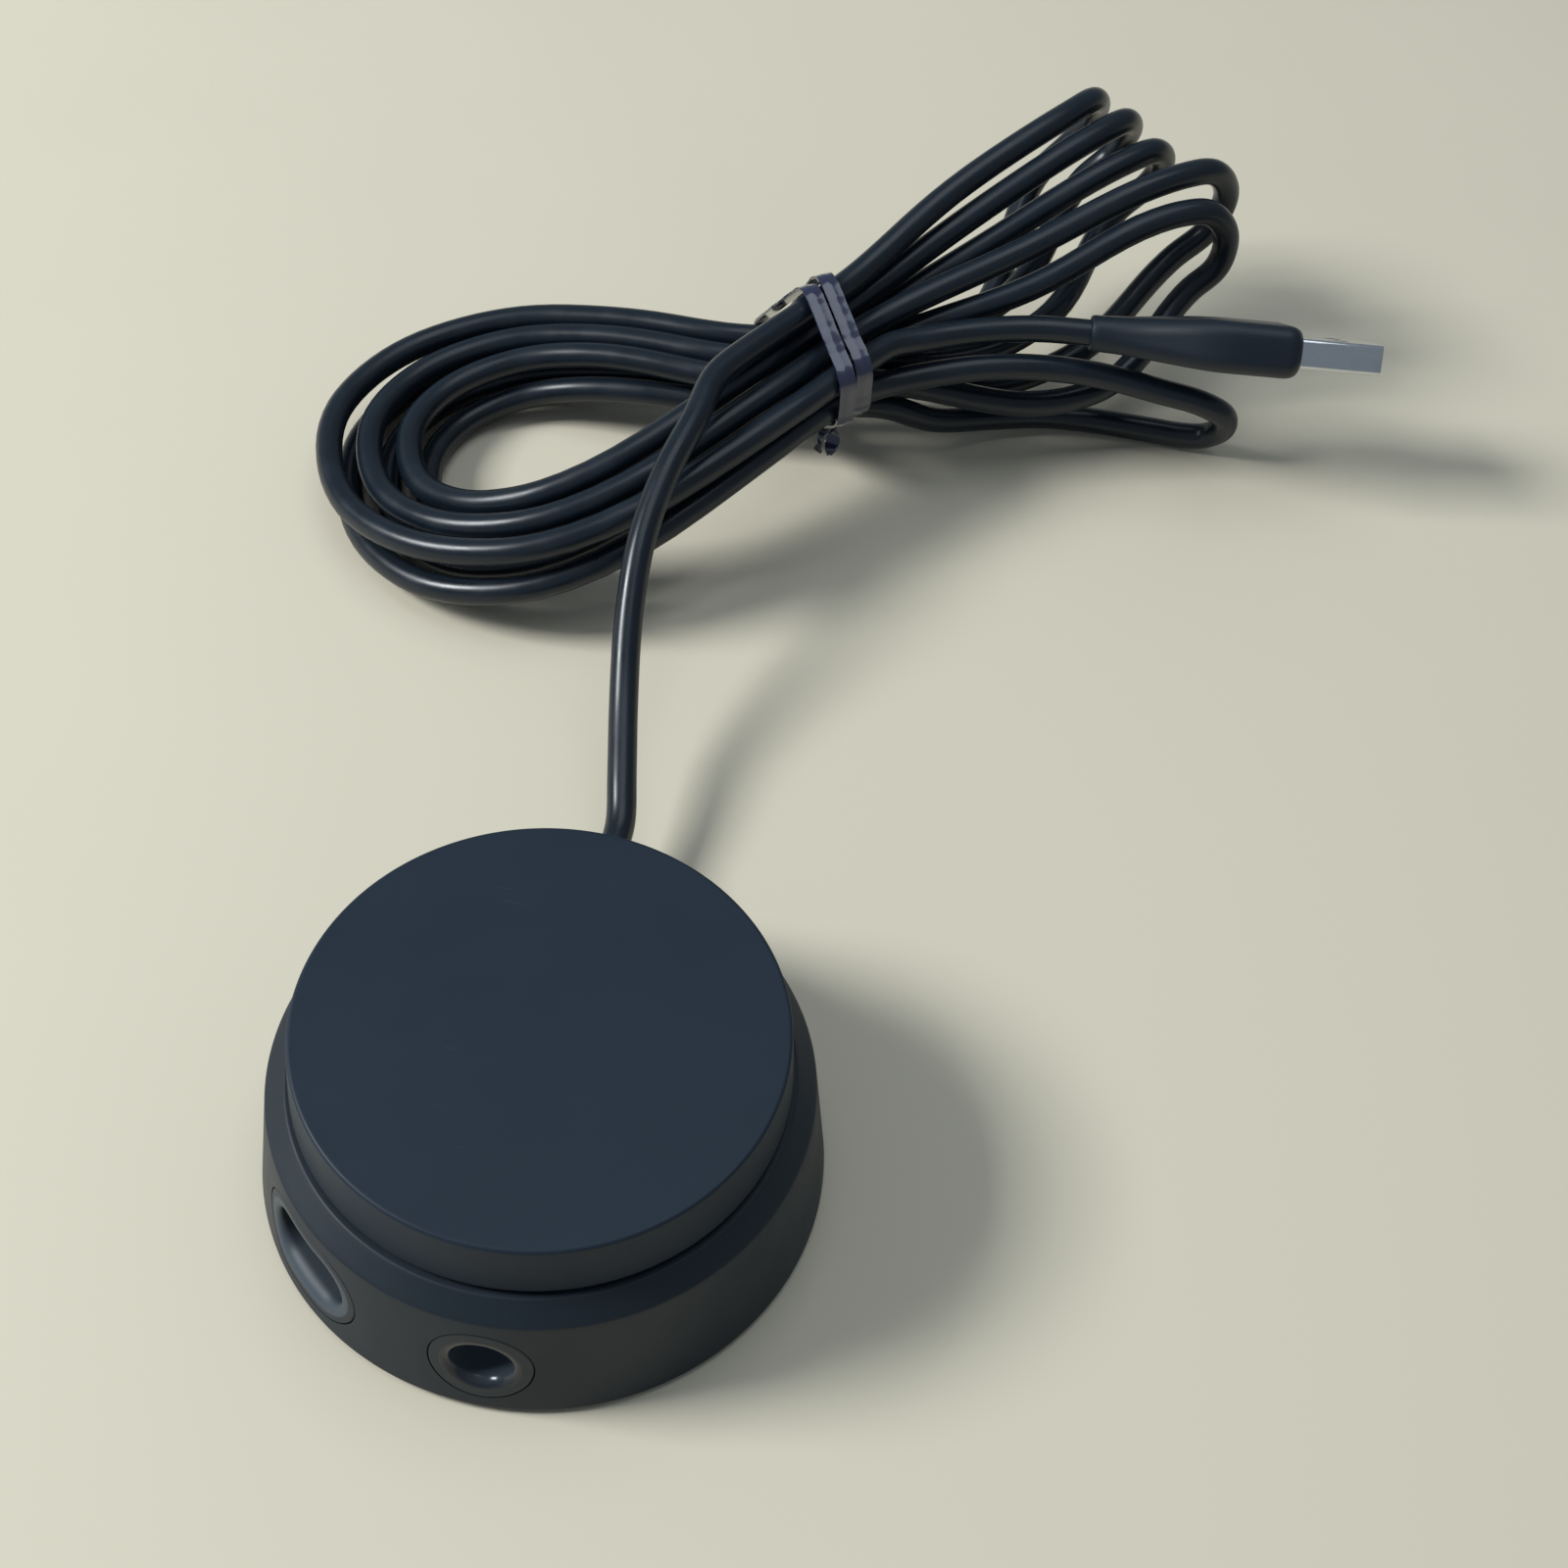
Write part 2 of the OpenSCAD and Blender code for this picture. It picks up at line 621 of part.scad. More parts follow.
// Closed solid over rings of points, each ring the same count
module loft(rings) {
    n = len(rings[0]);
    m = len(rings);
    polyhedron(
        points = [for (r = rings) for (p = r) p],
        faces = concat(
            [for (i = [0:m - 2]) for (k = [0:n - 1]) let (a = i * n + k, b = i * n + (k + 1) % n)
                each [[a, b, b + n], [a, b + n, a + n]]],
            [for (k = [1:n - 2]) [0, k + 1, k]],
            [for (k = [1:n - 2]) [(m - 1) * n, (m - 1) * n + k, (m - 1) * n + k + 1]]));
}

module tube(q, r, sides, first) {
    u = sides_of(q, first);
    loft([for (i = [0:len(q) - 1]) let (v = cross(u[i], heading(q, i)))
        [for (k = [0:sides - 1]) let (a = -360 * k / sides) q[i] + r * (cos(a) * u[i] + sin(a) * v)]]);
}

// Places of the strands at the tie, t along their run
function front_col(k) = k < 0 ? lead_col : turn_col[k];
function front_row(k) = k < 0 ? lead_row : turn_row[k];
function front_point(k, t) = front_at + t * front_dir + front_col(k) * strand_pitch * front_side
    + (cross_half + front_row(k) * strand_pitch) * up;
function back_point(k, t, rise = 0, open = 1) = back_at + t * back_dir
    - turn_col[k] * strand_pitch * open * back_side
    + (rise - cross_half - (1 - turn_row[k]) * strand_pitch * open) * up;

// Left lobe of one turn
function left_lobe(k) =
    let (out = (turn_col[k] + 1) * left_step + turn_row[k] * left_nest,
         behind = left_ry + left_behind * out,
         before = left_ry + left_before * out + (1 - turn_row[k]) * left_before_low,
         low = left_z + turn_row[k] * left_row)
    [for (i = [0:len(left_angles) - 1])
        let (a = left_angles[i], s = left_sink[turn_row[k]][i],
             from = i < left_turn ? back_point(k, 0)[2] : front_point(k, 0)[2])
        [left_at[0] + (left_rx + left_across * out) * cos(a),
         left_at[1] + (a < 180 ? behind : before) * sin(a), low * s + from * (1 - s)]];

// Right loop of one turn of the fan: out along a straight line, round a half circle, and back below
function fan_loop(k) =
    let (r = fan_rank[k], start = front_point(k - 1, level_half), tip = fan_tips[r], fold = fan_fold[r],
         out = unit(tip - start), reach = norm(tip - start), down = square_to(fan_lean[r], out),
         mid = start + out * (reach - fold) + down * fold, below = mid + down * fold,
         corner = back_point(k, fan_return[r], fan_return_rise[r], fan_return_open[r]),
         cut = fan_return_cut[r])
    concat([start, start + out * (reach - fold) / 2 + front_side * fan_bow[r]],
           [for (a = [0:45:180]) mid - down * fold * cos(a) + out * fold * sin(a)],
           [corner + cut[0] * (below - corner), corner + cut[1] * (back_point(k, level_half) - corner)]);

function right_lobe(k) = k == low_turn ? low_route : fan_loop(k);

lead_join = front_point(-1, -level_half);
tail_join = front_point(turns - 1, cord_d);
lead_line = curve(concat([[0, gland_end, cord_z], [0, gland_end + cord_d, cord_z]], lead_route,
                         [lead_join - cord_d * front_dir, lead_join]), route_steps);
hank_line = curve(concat(
    [lead_join, lead_join + cord_d * front_dir],
    [for (k = [0:turns - 1]) each concat(
        k == 0 ? [] : [front_point(k - 1, -level_half)],
        [front_point(k - 1, 0)],
        right_lobe(k),
        [back_point(k, level_half), back_point(k, 0), back_point(k, -level_half)],
        left_lobe(k))],
    [front_point(turns - 1, -level_half), front_point(turns - 1, 0), tail_join]), route_steps);
tail_line = curve(concat([tail_join, tail_join + cord_d * front_dir], tail_route,
                         [plug_at - cord_d * plug_dir, plug_at]), route_steps);

// Least gap of the hank to itself: each point against every later stretch that is not next to it
function along(q) =
    [for (i = 0, s = 0; i < len(q);
          i = i + 1, s = s + norm(q[min(i, len(q) - 1)] - q[i - 1])) s];
function to_stretch(p, a, b) =
    let (t = max(0, min(1, (p - a) * (b - a) / ((b - a) * (b - a))))) norm(p - a - t * (b - a));
function least_gap(q, d, skip) =
    let (s = along(q))
    min([for (i = [0:len(q) - 1]) for (j = [0:len(q) - 2])
        if (s[j] > s[i] + skip || s[j + 1] < s[i] - skip) to_stretch(q[i], q[j], q[j + 1])]) - d;
function run_length(q) = along(q)[len(q) - 1];

union() {  // cord_hank
    echo(hank_least_gap = least_gap(hank_line, cord_d, 3.5 * cord_d));
    echo(hank_lowest = min([for (p = hank_line) p[2]]) - cord_r);
    echo(cord_length = run_length(lead_line) + run_length(hank_line) + run_length(tail_line));
}

module cord_lead() color("#202226") tube(lead_line, cord_r, lead_sides, [1, 0, 0]);
module cord_hank() color("#202226") tube(hank_line, cord_r, hank_sides, up);
module cord_tail() color("#202226") tube(tail_line, cord_r, lead_sides, up);

// Places across the tie's plane of the outermost strands, s along the strands from the tie's middle
function tie_spots(s) =
    let (step = strand_pitch / cos(tie_cross), lean = s * tan(tie_cross),
         f = tie_front - lean, b = tie_back + lean, z = cross_half, p = strand_pitch)
    [[f - step, z + 2 * p], [f + step, z + p], [f + step, z],
     [b + step, -z - p], [b - step, -z - p], [b - step, -z]];

module tie_outline(s, r) hull()
    for (p = tie_spots(s)) translate(p) circle(r = r, $fn = 32);

module in_tie_plane() translate(tie_at) rotate([0, 0, tie_turn - 90]) rotate([90, 0, 0]) children();

module tie_band(s) {
    translate([0, 0, -s - tie_w / 2]) linear_extrude(height = tie_w) difference() {
        tie_outline(s, tie_inner + tie_t);
        tie_outline(s, tie_inner);
    }
}

module cord_tie() color("#30333a") in_tie_plane()
    for (s = [-0.5, 0.5]) tie_band(s * tie_step);

// Twisted strip along Z
module twisted_strip(w, t, len, twist) {
    loft([for (k = [0:10]) let (a = twist * k / 10)
        [for (c = [[-w, -t], [w, -t], [w, t], [-w, t]])
            [c[0] / 2 * cos(a) - c[1] / 2 * sin(a), c[0] / 2 * sin(a) + c[1] / 2 * cos(a), len * k / 10]]]);
}

// The ends leave the lower front side of the tie's first band
module tie_ends() color("#26282d") {
    spots = tie_spots(-tie_step / 2);
    run = unit(spots[2] - spots[3]);
    at = spots[3] + 0.8 * (spots[2] - spots[3]) + [run[1], -run[0]] * (tie_inner + tie_t - tie_end_sink);
    in_tie_plane() translate([at[0], at[1], tie_step / 2]) rotate([60, 0, 32])
        for (s = [-1, 1]) rotate([0, s * 14, 0]) translate([s * (tie_end_w / 2 + 0.1), 0, 0])
            twisted_strip(tie_end_w, tie_t, tie_end_len, s * tie_end_twist);
}

module at_plug() translate(plug_at) rotate([0, 0, plug_turn]) rotate([-plug_roll, 0, 0]) children();

// Section of the overmould: a rectangle of width w across Y and thickness t, with round corners
function rounded_ring(x, w, t, round) =
    let (r = min(round, t / 2 - 0.1))
    [for (c = [[1, 1, 0], [-1, 1, 90], [-1, -1, 180], [1, -1, 270]]) for (a = [0:30:90])
        [x, c[0] * (w / 2 - r) + r * cos(c[2] + a), c[1] * (t / 2 - r) + r * sin(c[2] + a)]];

module plug_overmould() color("#26292d") at_plug()
    let (l = overmould_len, dw = overmould_w - overmould_end_w, dt = overmould_t - overmould_end_t)
    loft(concat(
        [for (k = [0:8]) let (t = k / 8, ease = t * t * (3 - 2 * t))
            rounded_ring(t * 0.68 * l, overmould_end_w + dw * ease, overmould_end_t + dt * ease,
                         overmould_round + 0.2 * (1 - ease))],
        [for (a = [0:30:90])
            rounded_ring(l - overmould_round * (1 - sin(a)),
                         overmould_w - 2 * overmould_round * (1 - cos(a)) * 0.65,
                         overmould_t - 2 * overmould_round * (1 - cos(a)) * 0.65,
                         overmould_round)]));

module plug_shell() color("#cfd3d6") at_plug() translate([overmould_len, 0, 0]) difference() {
    translate([0, -shell_w / 2, -shell_t / 2]) cube([shell_len, shell_w, shell_t]);
    translate([-1, -shell_w / 2 + shell_wall, -shell_t / 2 + shell_wall])
        cube([shell_len + 2, shell_w - 2 * shell_wall, shell_t - 2 * shell_wall]);
    for (s = [-1, 1]) translate([shell_len * 0.42, s * shell_w / 4 - shell_hole[1] / 2, -shell_t])
        cube([shell_hole[0], shell_hole[1], 2 * shell_t]);
}

module plug_tongue() color("#e9e9e6") at_plug()
    translate([overmould_len, -shell_w / 2 + shell_wall + fit, -shell_t / 2 + shell_wall])
        cube([tongue_len, shell_w - 2 * shell_wall - 2 * fit, tongue_t]);

module plug_contacts() color("#d8b45a") at_plug()
    for (i = [-1.5:1:1.5])
        translate([overmould_len + 1, i * contact_step - contact_w / 2,
                   -shell_t / 2 + shell_wall + tongue_t])
            cube([tongue_len - 2, contact_w, contact_t]);

base_shell();
bottom_cover();
foot_ring();
cover_screws();
circuit_board();
board_screws();
encoder_body();
encoder_bushing();
encoder_washer();
encoder_nut();
push_dome();
switch_plunger();
encoder_shaft();
dial_hub();
dial_cap();
round_socket_insert();
jack_body();
jack_tabs();
wide_socket_insert();
wide_socket_core();
wide_socket_contacts();
audio_chip();
board_parts();
wire_header();
inner_wires();
cord_gland();
cord_lead();
cord_hank();
cord_tail();
cord_tie();
tie_ends();
plug_overmould();
plug_shell();
plug_tongue();
plug_contacts();
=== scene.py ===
"""Dressed model of a round desk volume dial on a USB lead, in metres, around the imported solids."""
import math

import bmesh
import bpy
import numpy as np
from mathutils import Matrix, Vector


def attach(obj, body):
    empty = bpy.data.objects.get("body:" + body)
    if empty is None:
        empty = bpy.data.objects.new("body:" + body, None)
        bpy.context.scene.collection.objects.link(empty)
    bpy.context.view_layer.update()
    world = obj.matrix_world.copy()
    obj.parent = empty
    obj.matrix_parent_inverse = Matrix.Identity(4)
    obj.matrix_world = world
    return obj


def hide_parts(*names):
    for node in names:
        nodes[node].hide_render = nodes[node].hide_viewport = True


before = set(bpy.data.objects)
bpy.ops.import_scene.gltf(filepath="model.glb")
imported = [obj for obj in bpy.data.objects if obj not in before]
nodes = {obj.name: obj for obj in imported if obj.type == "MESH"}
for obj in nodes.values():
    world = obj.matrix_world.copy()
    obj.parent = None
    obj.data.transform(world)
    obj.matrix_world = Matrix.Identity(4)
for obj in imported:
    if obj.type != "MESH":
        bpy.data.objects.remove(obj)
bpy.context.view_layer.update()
scene = bpy.context.scene
MM = 0.001

# Sizes of the part, as in its source, in millimetres
BASE_R, SHOULDER_R, DECK_R = 34.5, 32.5, 30.0
FOOT_Z, SHOULDER_Z, DECK_Z = 0.6, 17.3, 19.6
BASE_WALL, DECK_T = 2.6, 2.2
COVER_TOP, COVER_SEAT_R = 2.4, 32.884
WELL_R, WELL_WALL, SEAT_Z, ENCODER_TOP, BUSHING_HOLE_R = 8.906, 1.8, 16.6, 12.6, 4.55
DIAL_TOP_R, DIAL_RIM_R, DIAL_WALL, DIAL_TOP_T = 29.0, 29.5, 2.2, 2.0
RIM_Z, DIAL_Z = 20.4, 28.4
DIAL_EDGE = 0.5
HUB_HOLE_R, HUB_BOSS_R, HUB_Z = 5.05, 6.65, 21.4
SOCKET_Z, INSERT_H, WIDE_INSERT_W, INSERT_GAP = 9.0, 12.2, 18.4, 0.15
INSERT_BACK, ROUND_FLOOR = 24.494, 26.494
WIDE_TURN = -43.5
CORD_R, CORD_Z, GLAND_END = 2.0, 8.0, 39.614
OVERMOULD_LEN, SHELL_W, SHELL_T, SHELL_LEN, SHELL_WALL = 31.0, 12.0, 4.5, 12.0, 0.3


def outer_r(z):
    """Radius of the base wall at height z."""
    return BASE_R - (BASE_R - SHOULDER_R) * (z - FOOT_Z) / (SHOULDER_Z - FOOT_Z)


def inner_r(z):
    return outer_r(z) - BASE_WALL


def unit(v):
    return v / np.linalg.norm(v)


def linked(name, data):
    """New object in the scene."""
    obj = bpy.data.objects.new(name, data)
    scene.collection.objects.link(obj)
    return obj


BOSS_R, BOSS_TOP, CORD_HOLE_R = 3.0, 11.4, 3.35
SCREW_ANGLES, SCREW_REACH = (45, 135, 186, 318), inner_r(COVER_TOP) + 0.4 - BOSS_R
SCREW_HOLE_R, SCREW_HOLE_TOP = 1.25, 7.9


# Camera: the photograph's place, with its downward look and slight roll
LOOK_DOWN, CAMERA_ROLL, CAMERA_TURN = (math.radians(angle) for angle in (51.1, 5.2, 5.0))
CAMERA_AT = Vector((0.02522, -0.15314, 0.26635))
SENSOR_WIDTH, LENS = 36, 56.25


def make_camera():
    ahead = Vector((0, math.cos(LOOK_DOWN), -math.sin(LOOK_DOWN)))
    right = Vector((1, 0, 0))
    up = right.cross(ahead)
    tilted_right = math.cos(CAMERA_ROLL) * right + math.sin(CAMERA_ROLL) * up
    tilted_up = -math.sin(CAMERA_ROLL) * right + math.cos(CAMERA_ROLL) * up
    axes = Matrix((tilted_right, tilted_up, -ahead)).transposed()
    about_z = Matrix.Rotation(CAMERA_TURN, 3, "Z")
    data = bpy.data.cameras.new("photo_camera")
    data.sensor_width = SENSOR_WIDTH
    data.sensor_fit = "HORIZONTAL"
    data.lens = LENS
    data.clip_start = 0.01
    camera = linked("photo_camera", data)
    camera.matrix_world = Matrix.Translation(about_z @ CAMERA_AT) @ (about_z @ axes).to_4x4()
    scene.camera = camera


make_camera()


# Finishes: one small kit of shader nodes for all of them
def fill(node, **values):
    """Sets inputs of a node by their names, with underscores for spaces."""
    for label, value in values.items():
        node.inputs[label.replace("_", " ")].default_value = value


class Finish:
    """A material whose colour, gloss and relief come from patterns on the piece."""

    def __init__(self, name, colour, rough, metal=0.0, specular=0.5, coat=0.0, coat_rough=0.1):
        self.material = bpy.data.materials.new(name)
        self.material.use_nodes = True
        self.tree = self.material.node_tree
        self.shader = self.tree.nodes["Principled BSDF"]
        fill(self.shader, Metallic=metal, Specular_IOR_Level=specular, Coat_Weight=coat,
             Coat_Roughness=coat_rough)
        self.material.diffuse_color = (*colour, 1)
        self.place = self.node("TexCoord").outputs["Object"]
        self.colour = self.shader.inputs["Base Color"]
        self.colour.default_value = (*colour, 1)
        self.rough = self.shader.inputs["Roughness"]
        self.rough.default_value = rough
        self.relief = None

    def node(self, kind, **values):
        made = self.tree.nodes.new("ShaderNode" + kind)
        fill(made, **values)
        return made

    def link(self, a, b):
        self.tree.links.new(a, b)

    def placed(self, place, kind, **values):
        """Node that reads a place, which is the piece's own frame unless another is given."""
        made = self.node(kind, **values)
        self.link(place or self.place, made.inputs["Vector"])
        return made

    def stretched(self, scale, turn=(0, 0, 0), place=None):
        return self.placed(place, "Mapping", Scale=scale, Rotation=turn).outputs["Vector"]

    def uv(self):
        return self.node("UVMap").outputs["UV"]

    def attribute(self, name):
        """Value that the piece's own mesh carries."""
        node = self.node("Attribute")
        node.attribute_name = name
        return node.outputs["Fac"]

    def noise(self, scale, detail, place=None):
        return self.placed(place, "TexNoise", Scale=scale, Detail=detail).outputs["Fac"]

    def cells(self, scale):
        return self.placed(None, "TexVoronoi", Scale=scale).outputs["Distance"]

    def bands(self, scale, distortion):
        """Wavy stripes that run aslant."""
        node = self.placed(None, "TexWave", Scale=scale, Distortion=distortion)
        node.bands_direction = "DIAGONAL"
        return node.outputs["Fac"]

    def ranged(self, value, low, high, to_low=0.0, to_high=1.0):
        """Value brought from one range to another, and kept inside it."""
        node = self.node("MapRange", From_Min=low, From_Max=high, To_Min=to_low, To_Max=to_high)
        self.link(value, node.inputs["Value"])
        return node.outputs["Result"]

    def times(self, a, b):
        node = self.node("Math")
        node.operation = "MULTIPLY"
        self.link(a, node.inputs[0])
        if isinstance(b, (int, float)):
            node.inputs[1].default_value = b
        else:
            self.link(b, node.inputs[1])
        return node.outputs["Value"]

    def tint(self, share, colour):
        """Mixes a colour in, where share says how much of it shows."""
        node = self.node("Mix")
        node.data_type = "RGBA"
        node.inputs[7].default_value = (*colour, 1)
        if self.colour.is_linked:
            self.link(self.colour.links[0].from_socket, node.inputs[6])
        else:
            node.inputs[6].default_value = self.colour.default_value
        self.link(share, node.inputs[0])
        self.link(node.outputs[2], self.colour)

    def gloss(self, value, low, high):
        """Roughness that follows a pattern between two values."""
        self.link(self.ranged(value, 0.3, 0.7, low, high), self.rough)

    def bump(self, height, depth, strength):
        """Relief of the given depth in millimetres."""
        node = self.node("Bump", Strength=strength, Distance=depth * MM)
        self.link(height, node.inputs["Height"])
        if self.relief:
            self.link(self.relief, node.inputs["Normal"])
        self.relief = node.outputs["Normal"]
        self.link(self.relief, self.shader.inputs["Normal"])


def linear(*levels):
    """Colour of the given 0 to 255 screen levels as a shader colour."""
    shares = [level / 255 for level in levels]
    return tuple(c / 12.92 if c <= 0.04045 else ((c + 0.055) / 1.055) ** 2.4 for c in shares)


def moulded(name, colour, rough, grain, specular=0.5):
    """Matte moulded plastic with a fine spark-eroded grain."""
    finish = Finish(name, colour, rough, specular=specular)
    cloud = finish.noise(90, 3)
    finish.gloss(cloud, rough - 0.05, rough + 0.05)
    finish.tint(finish.ranged(cloud, 0.35, 0.75, 0.0, 0.35), tuple(1.25 * c for c in colour))
    finish.bump(finish.noise(5200, 2), grain, 0.35)
    return finish


def dial_skin():
    """Soft matte skin of the dial, with a faint turned sheen and a few hairline marks."""
    finish = moulded("dial_skin", linear(27, 39, 51), 0.5, 0.008, specular=0.24)
    marks = finish.noise(1.0, 0, place=finish.stretched((260, 3800, 60), (0, 0, 0.9)))
    where = finish.noise(70, 1)
    few = finish.times(finish.ranged(marks, 0.80, 0.84), finish.ranged(where, 0.62, 0.68))
    finish.tint(finish.times(few, 0.14), linear(86, 96, 108))
    return finish.material


def socket_skin():
    """Moulded face like the base's, a polished recess where the piece's own map says so, and painted light
    in the recess where another map says so.
    """
    finish = Finish("socket_skin", linear(28, 37, 45), 0.4, specular=0.4)
    polished = finish.attribute("recess")
    finish.link(finish.ranged(polished, 0.0, 1.0, 0.52, 0.2), finish.rough)
    finish.tint(polished, linear(22, 29, 38))
    # Painted light: a pale blue-grey tint stands in for light reflected into the recess and off its lip.
    finish.tint(finish.attribute("deep"), linear(114, 128, 141))
    finish.bump(finish.noise(420, 2), 0.02, 0.12)
    return finish.material


def cord_skin():
    """Satin PVC skin: fine lines along the cord from its die, and dull and bright patches."""
    finish = Finish("cord_skin", linear(19, 28, 37), 0.32, specular=0.4)
    along = finish.uv()
    patches = finish.noise(1.0, 3, place=finish.stretched((2.0, 160, 1), place=along))
    finish.gloss(patches, 0.24, 0.38)
    finish.tint(finish.ranged(patches, 0.5, 0.8, 0.0, 0.4), linear(29, 39, 48))
    lines = finish.noise(1.0, 2, place=finish.stretched((40, 18, 1), place=along))
    finish.bump(lines, 0.03, 0.25)
    dents = finish.noise(1.0, 1, place=finish.stretched((3, 90, 1), place=along))
    finish.bump(dents, 0.12, 0.2)
    return finish.material


def tie_film():
    """Glossy film laid over a wire, with creases across the strip."""
    finish = Finish("tie_film", linear(35, 40, 66), 0.26, specular=0.5, coat=0.9, coat_rough=0.08)
    creases = finish.noise(1.0, 3, place=finish.stretched((260, 260, 160)))
    finish.gloss(creases, 0.2, 0.3)
    finish.bump(creases, 0.06, 0.3)
    return finish.material


def brushed(name, colour, rough):
    """Metal with fine lines along X and a little tarnish."""
    finish = Finish(name, colour, rough, metal=1.0)
    lines = finish.noise(1.0, 3, place=finish.stretched((60, 6000, 6000)))
    finish.gloss(lines, rough - 0.07, rough + 0.09)
    finish.tint(finish.ranged(finish.noise(300, 3), 0.5, 0.8, 0.0, 0.3), tuple(0.75 * c for c in colour))
    finish.bump(lines, 0.006, 0.2)
    return finish.material


def rubber_skin(name, colour):
    """Dull rubber with small pits and greyed patches."""
    finish = Finish(name, colour, 0.8, specular=0.3)
    finish.bump(finish.cells(2600), 0.03, 0.5)
    finish.tint(finish.ranged(finish.noise(240, 3), 0.5, 0.8, 0.0, 0.5), tuple(1.7 * c for c in colour))
    return finish.material


def board_skin():
    """Green solder mask with tracks under it."""
    finish = Finish("board_mask", linear(24, 84, 54), 0.35, coat=0.3, coat_rough=0.15)
    tracks = finish.bands(180, 3.0)
    track = finish.ranged(tracks, 0.62, 0.72)
    finish.tint(finish.times(track, 0.7), linear(46, 122, 80))
    finish.bump(track, 0.04, 0.4)
    finish.gloss(finish.noise(300, 2), 0.3, 0.42)
    return finish.material


def plain_plastic(name, colour):
    rough = 0.45
    finish = Finish(name, colour, rough)
    cloud = finish.noise(420, 3)
    finish.gloss(cloud, rough - 0.06, rough + 0.08)
    finish.tint(finish.ranged(cloud, 0.5, 0.8, 0.0, 0.3), tuple(0.8 * c for c in colour))
    finish.bump(finish.noise(3000, 2), 0.01, 0.3)
    return finish.material


SKINS = {
    "dial": dial_skin(),
    "base": moulded("base_skin", linear(25, 35, 44), 0.5, 0.012, specular=0.3).material,
    "cover": moulded("cover_skin", linear(30, 31, 34), 0.6, 0.02).material,
    "socket": socket_skin(),
    "cord": cord_skin(),
    "moulding": moulded("overmould_skin", linear(16, 26, 36), 0.42, 0.015, specular=0.4).material,
    "tie": tie_film(),
    "nickel": brushed("bright_nickel", linear(214, 216, 218), 0.2),
    "steel": brushed("zinc_steel", linear(176, 178, 182), 0.34),
    "brass": brushed("contact_brass", linear(214, 178, 98), 0.28),
    "rubber": rubber_skin("foot_rubber", linear(22, 22, 24)),
    "wire": rubber_skin("wire_skin", linear(150, 44, 40)),
    "board": board_skin(),
    "black": plain_plastic("black_plastic", linear(30, 31, 34)),
    "white": plain_plastic("white_plastic", linear(226, 224, 216)),
    "parts": plain_plastic("part_case", linear(70, 78, 92)),
}


# Meshes
def piece_from(name, mesh, skin, body, slot, *stands_for):
    """Puts a finished mesh in the scene as a piece that rides on a body."""
    piece = linked(name, mesh)
    mesh.materials.clear()
    mesh.materials.append(SKINS[skin])
    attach(piece, body)
    if stands_for:
        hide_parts(*stands_for)
    return piece


def smooth(mesh, degrees=35):
    """Smooth faces that part at edges sharper than the given angle."""
    mesh.polygons.foreach_set("use_smooth", [True] * len(mesh.polygons))
    mesh.set_sharp_from_angle(angle=math.radians(degrees))
    return mesh


def facing_out(mesh):
    """Mesh with doubled points merged and its faces turned outwards."""
    work = bmesh.new()
    work.from_mesh(mesh)
    bmesh.ops.remove_doubles(work, verts=work.verts, dist=1e-7)
    bmesh.ops.recalc_face_normals(work, faces=work.faces)
    work.to_mesh(mesh)
    work.free()
    return mesh


def mark_points(mesh, mark, values):
    """Gives each point of a mesh its own value under a name."""
    mesh.attributes.new(mark, "FLOAT", "POINT").data.foreach_set("value", values)


def mesh_of(name, points, faces, **marks):
    """Closed mesh from points in millimetres, with a value per point for each mark."""
    mesh = bpy.data.meshes.new(name)
    mesh.from_pydata([tuple(MM * float(x) for x in p) for p in points], [], faces)
    for mark, values in marks.items():
        mark_points(mesh, mark, values)
    return facing_out(mesh)


def loft(name, rings, closed=False, **marks):
    """Skin over rings of points: capped at both ends, or closed from the last ring to the first."""
    count = len(rings[0])
    points = [p for ring in rings for p in ring]
    faces = []
    for i in range(len(rings) if closed else len(rings) - 1):
        a, b = i * count, (i + 1) % len(rings) * count
        faces += [(a + k, a + (k + 1) % count, b + (k + 1) % count, b + k) for k in range(count)]
    if not closed:
        last = (len(rings) - 1) * count
        faces += [tuple(range(count)), tuple(range(last, last + count))]
    return mesh_of(name, points, faces, **marks)


def evaluated(name, carrier):
    """Plain mesh of an object with its modifiers, which then goes."""
    bpy.context.view_layer.update()
    graph = bpy.context.evaluated_depsgraph_get()
    mesh = bpy.data.meshes.new_from_object(carrier.evaluated_get(graph))
    mesh.name = name
    carrier.modifiers.clear()
    bpy.data.objects.remove(carrier)
    return mesh


def joined_mesh(name, meshes):
    """One mesh with all the given ones in it."""
    work = bmesh.new()
    for mesh in meshes:
        work.from_mesh(mesh)
    whole = bpy.data.meshes.new(name)
    work.to_mesh(whole)
    work.free()
    return whole


def carved(name, mesh, *steps):
    """Mesh after other closed meshes are added to it or cut out of it, one after the other."""
    carrier = linked(name, mesh)
    tools = []
    for operation, shape in steps:
        tool = linked(shape.name, shape)
        tools.append(tool)
        change = carrier.modifiers.new(shape.name, "BOOLEAN")
        change.operation = operation
        change.solver = "EXACT"
        change.object = tool
    result = evaluated(name, carrier)
    for tool in tools:
        bpy.data.objects.remove(tool)
    return result


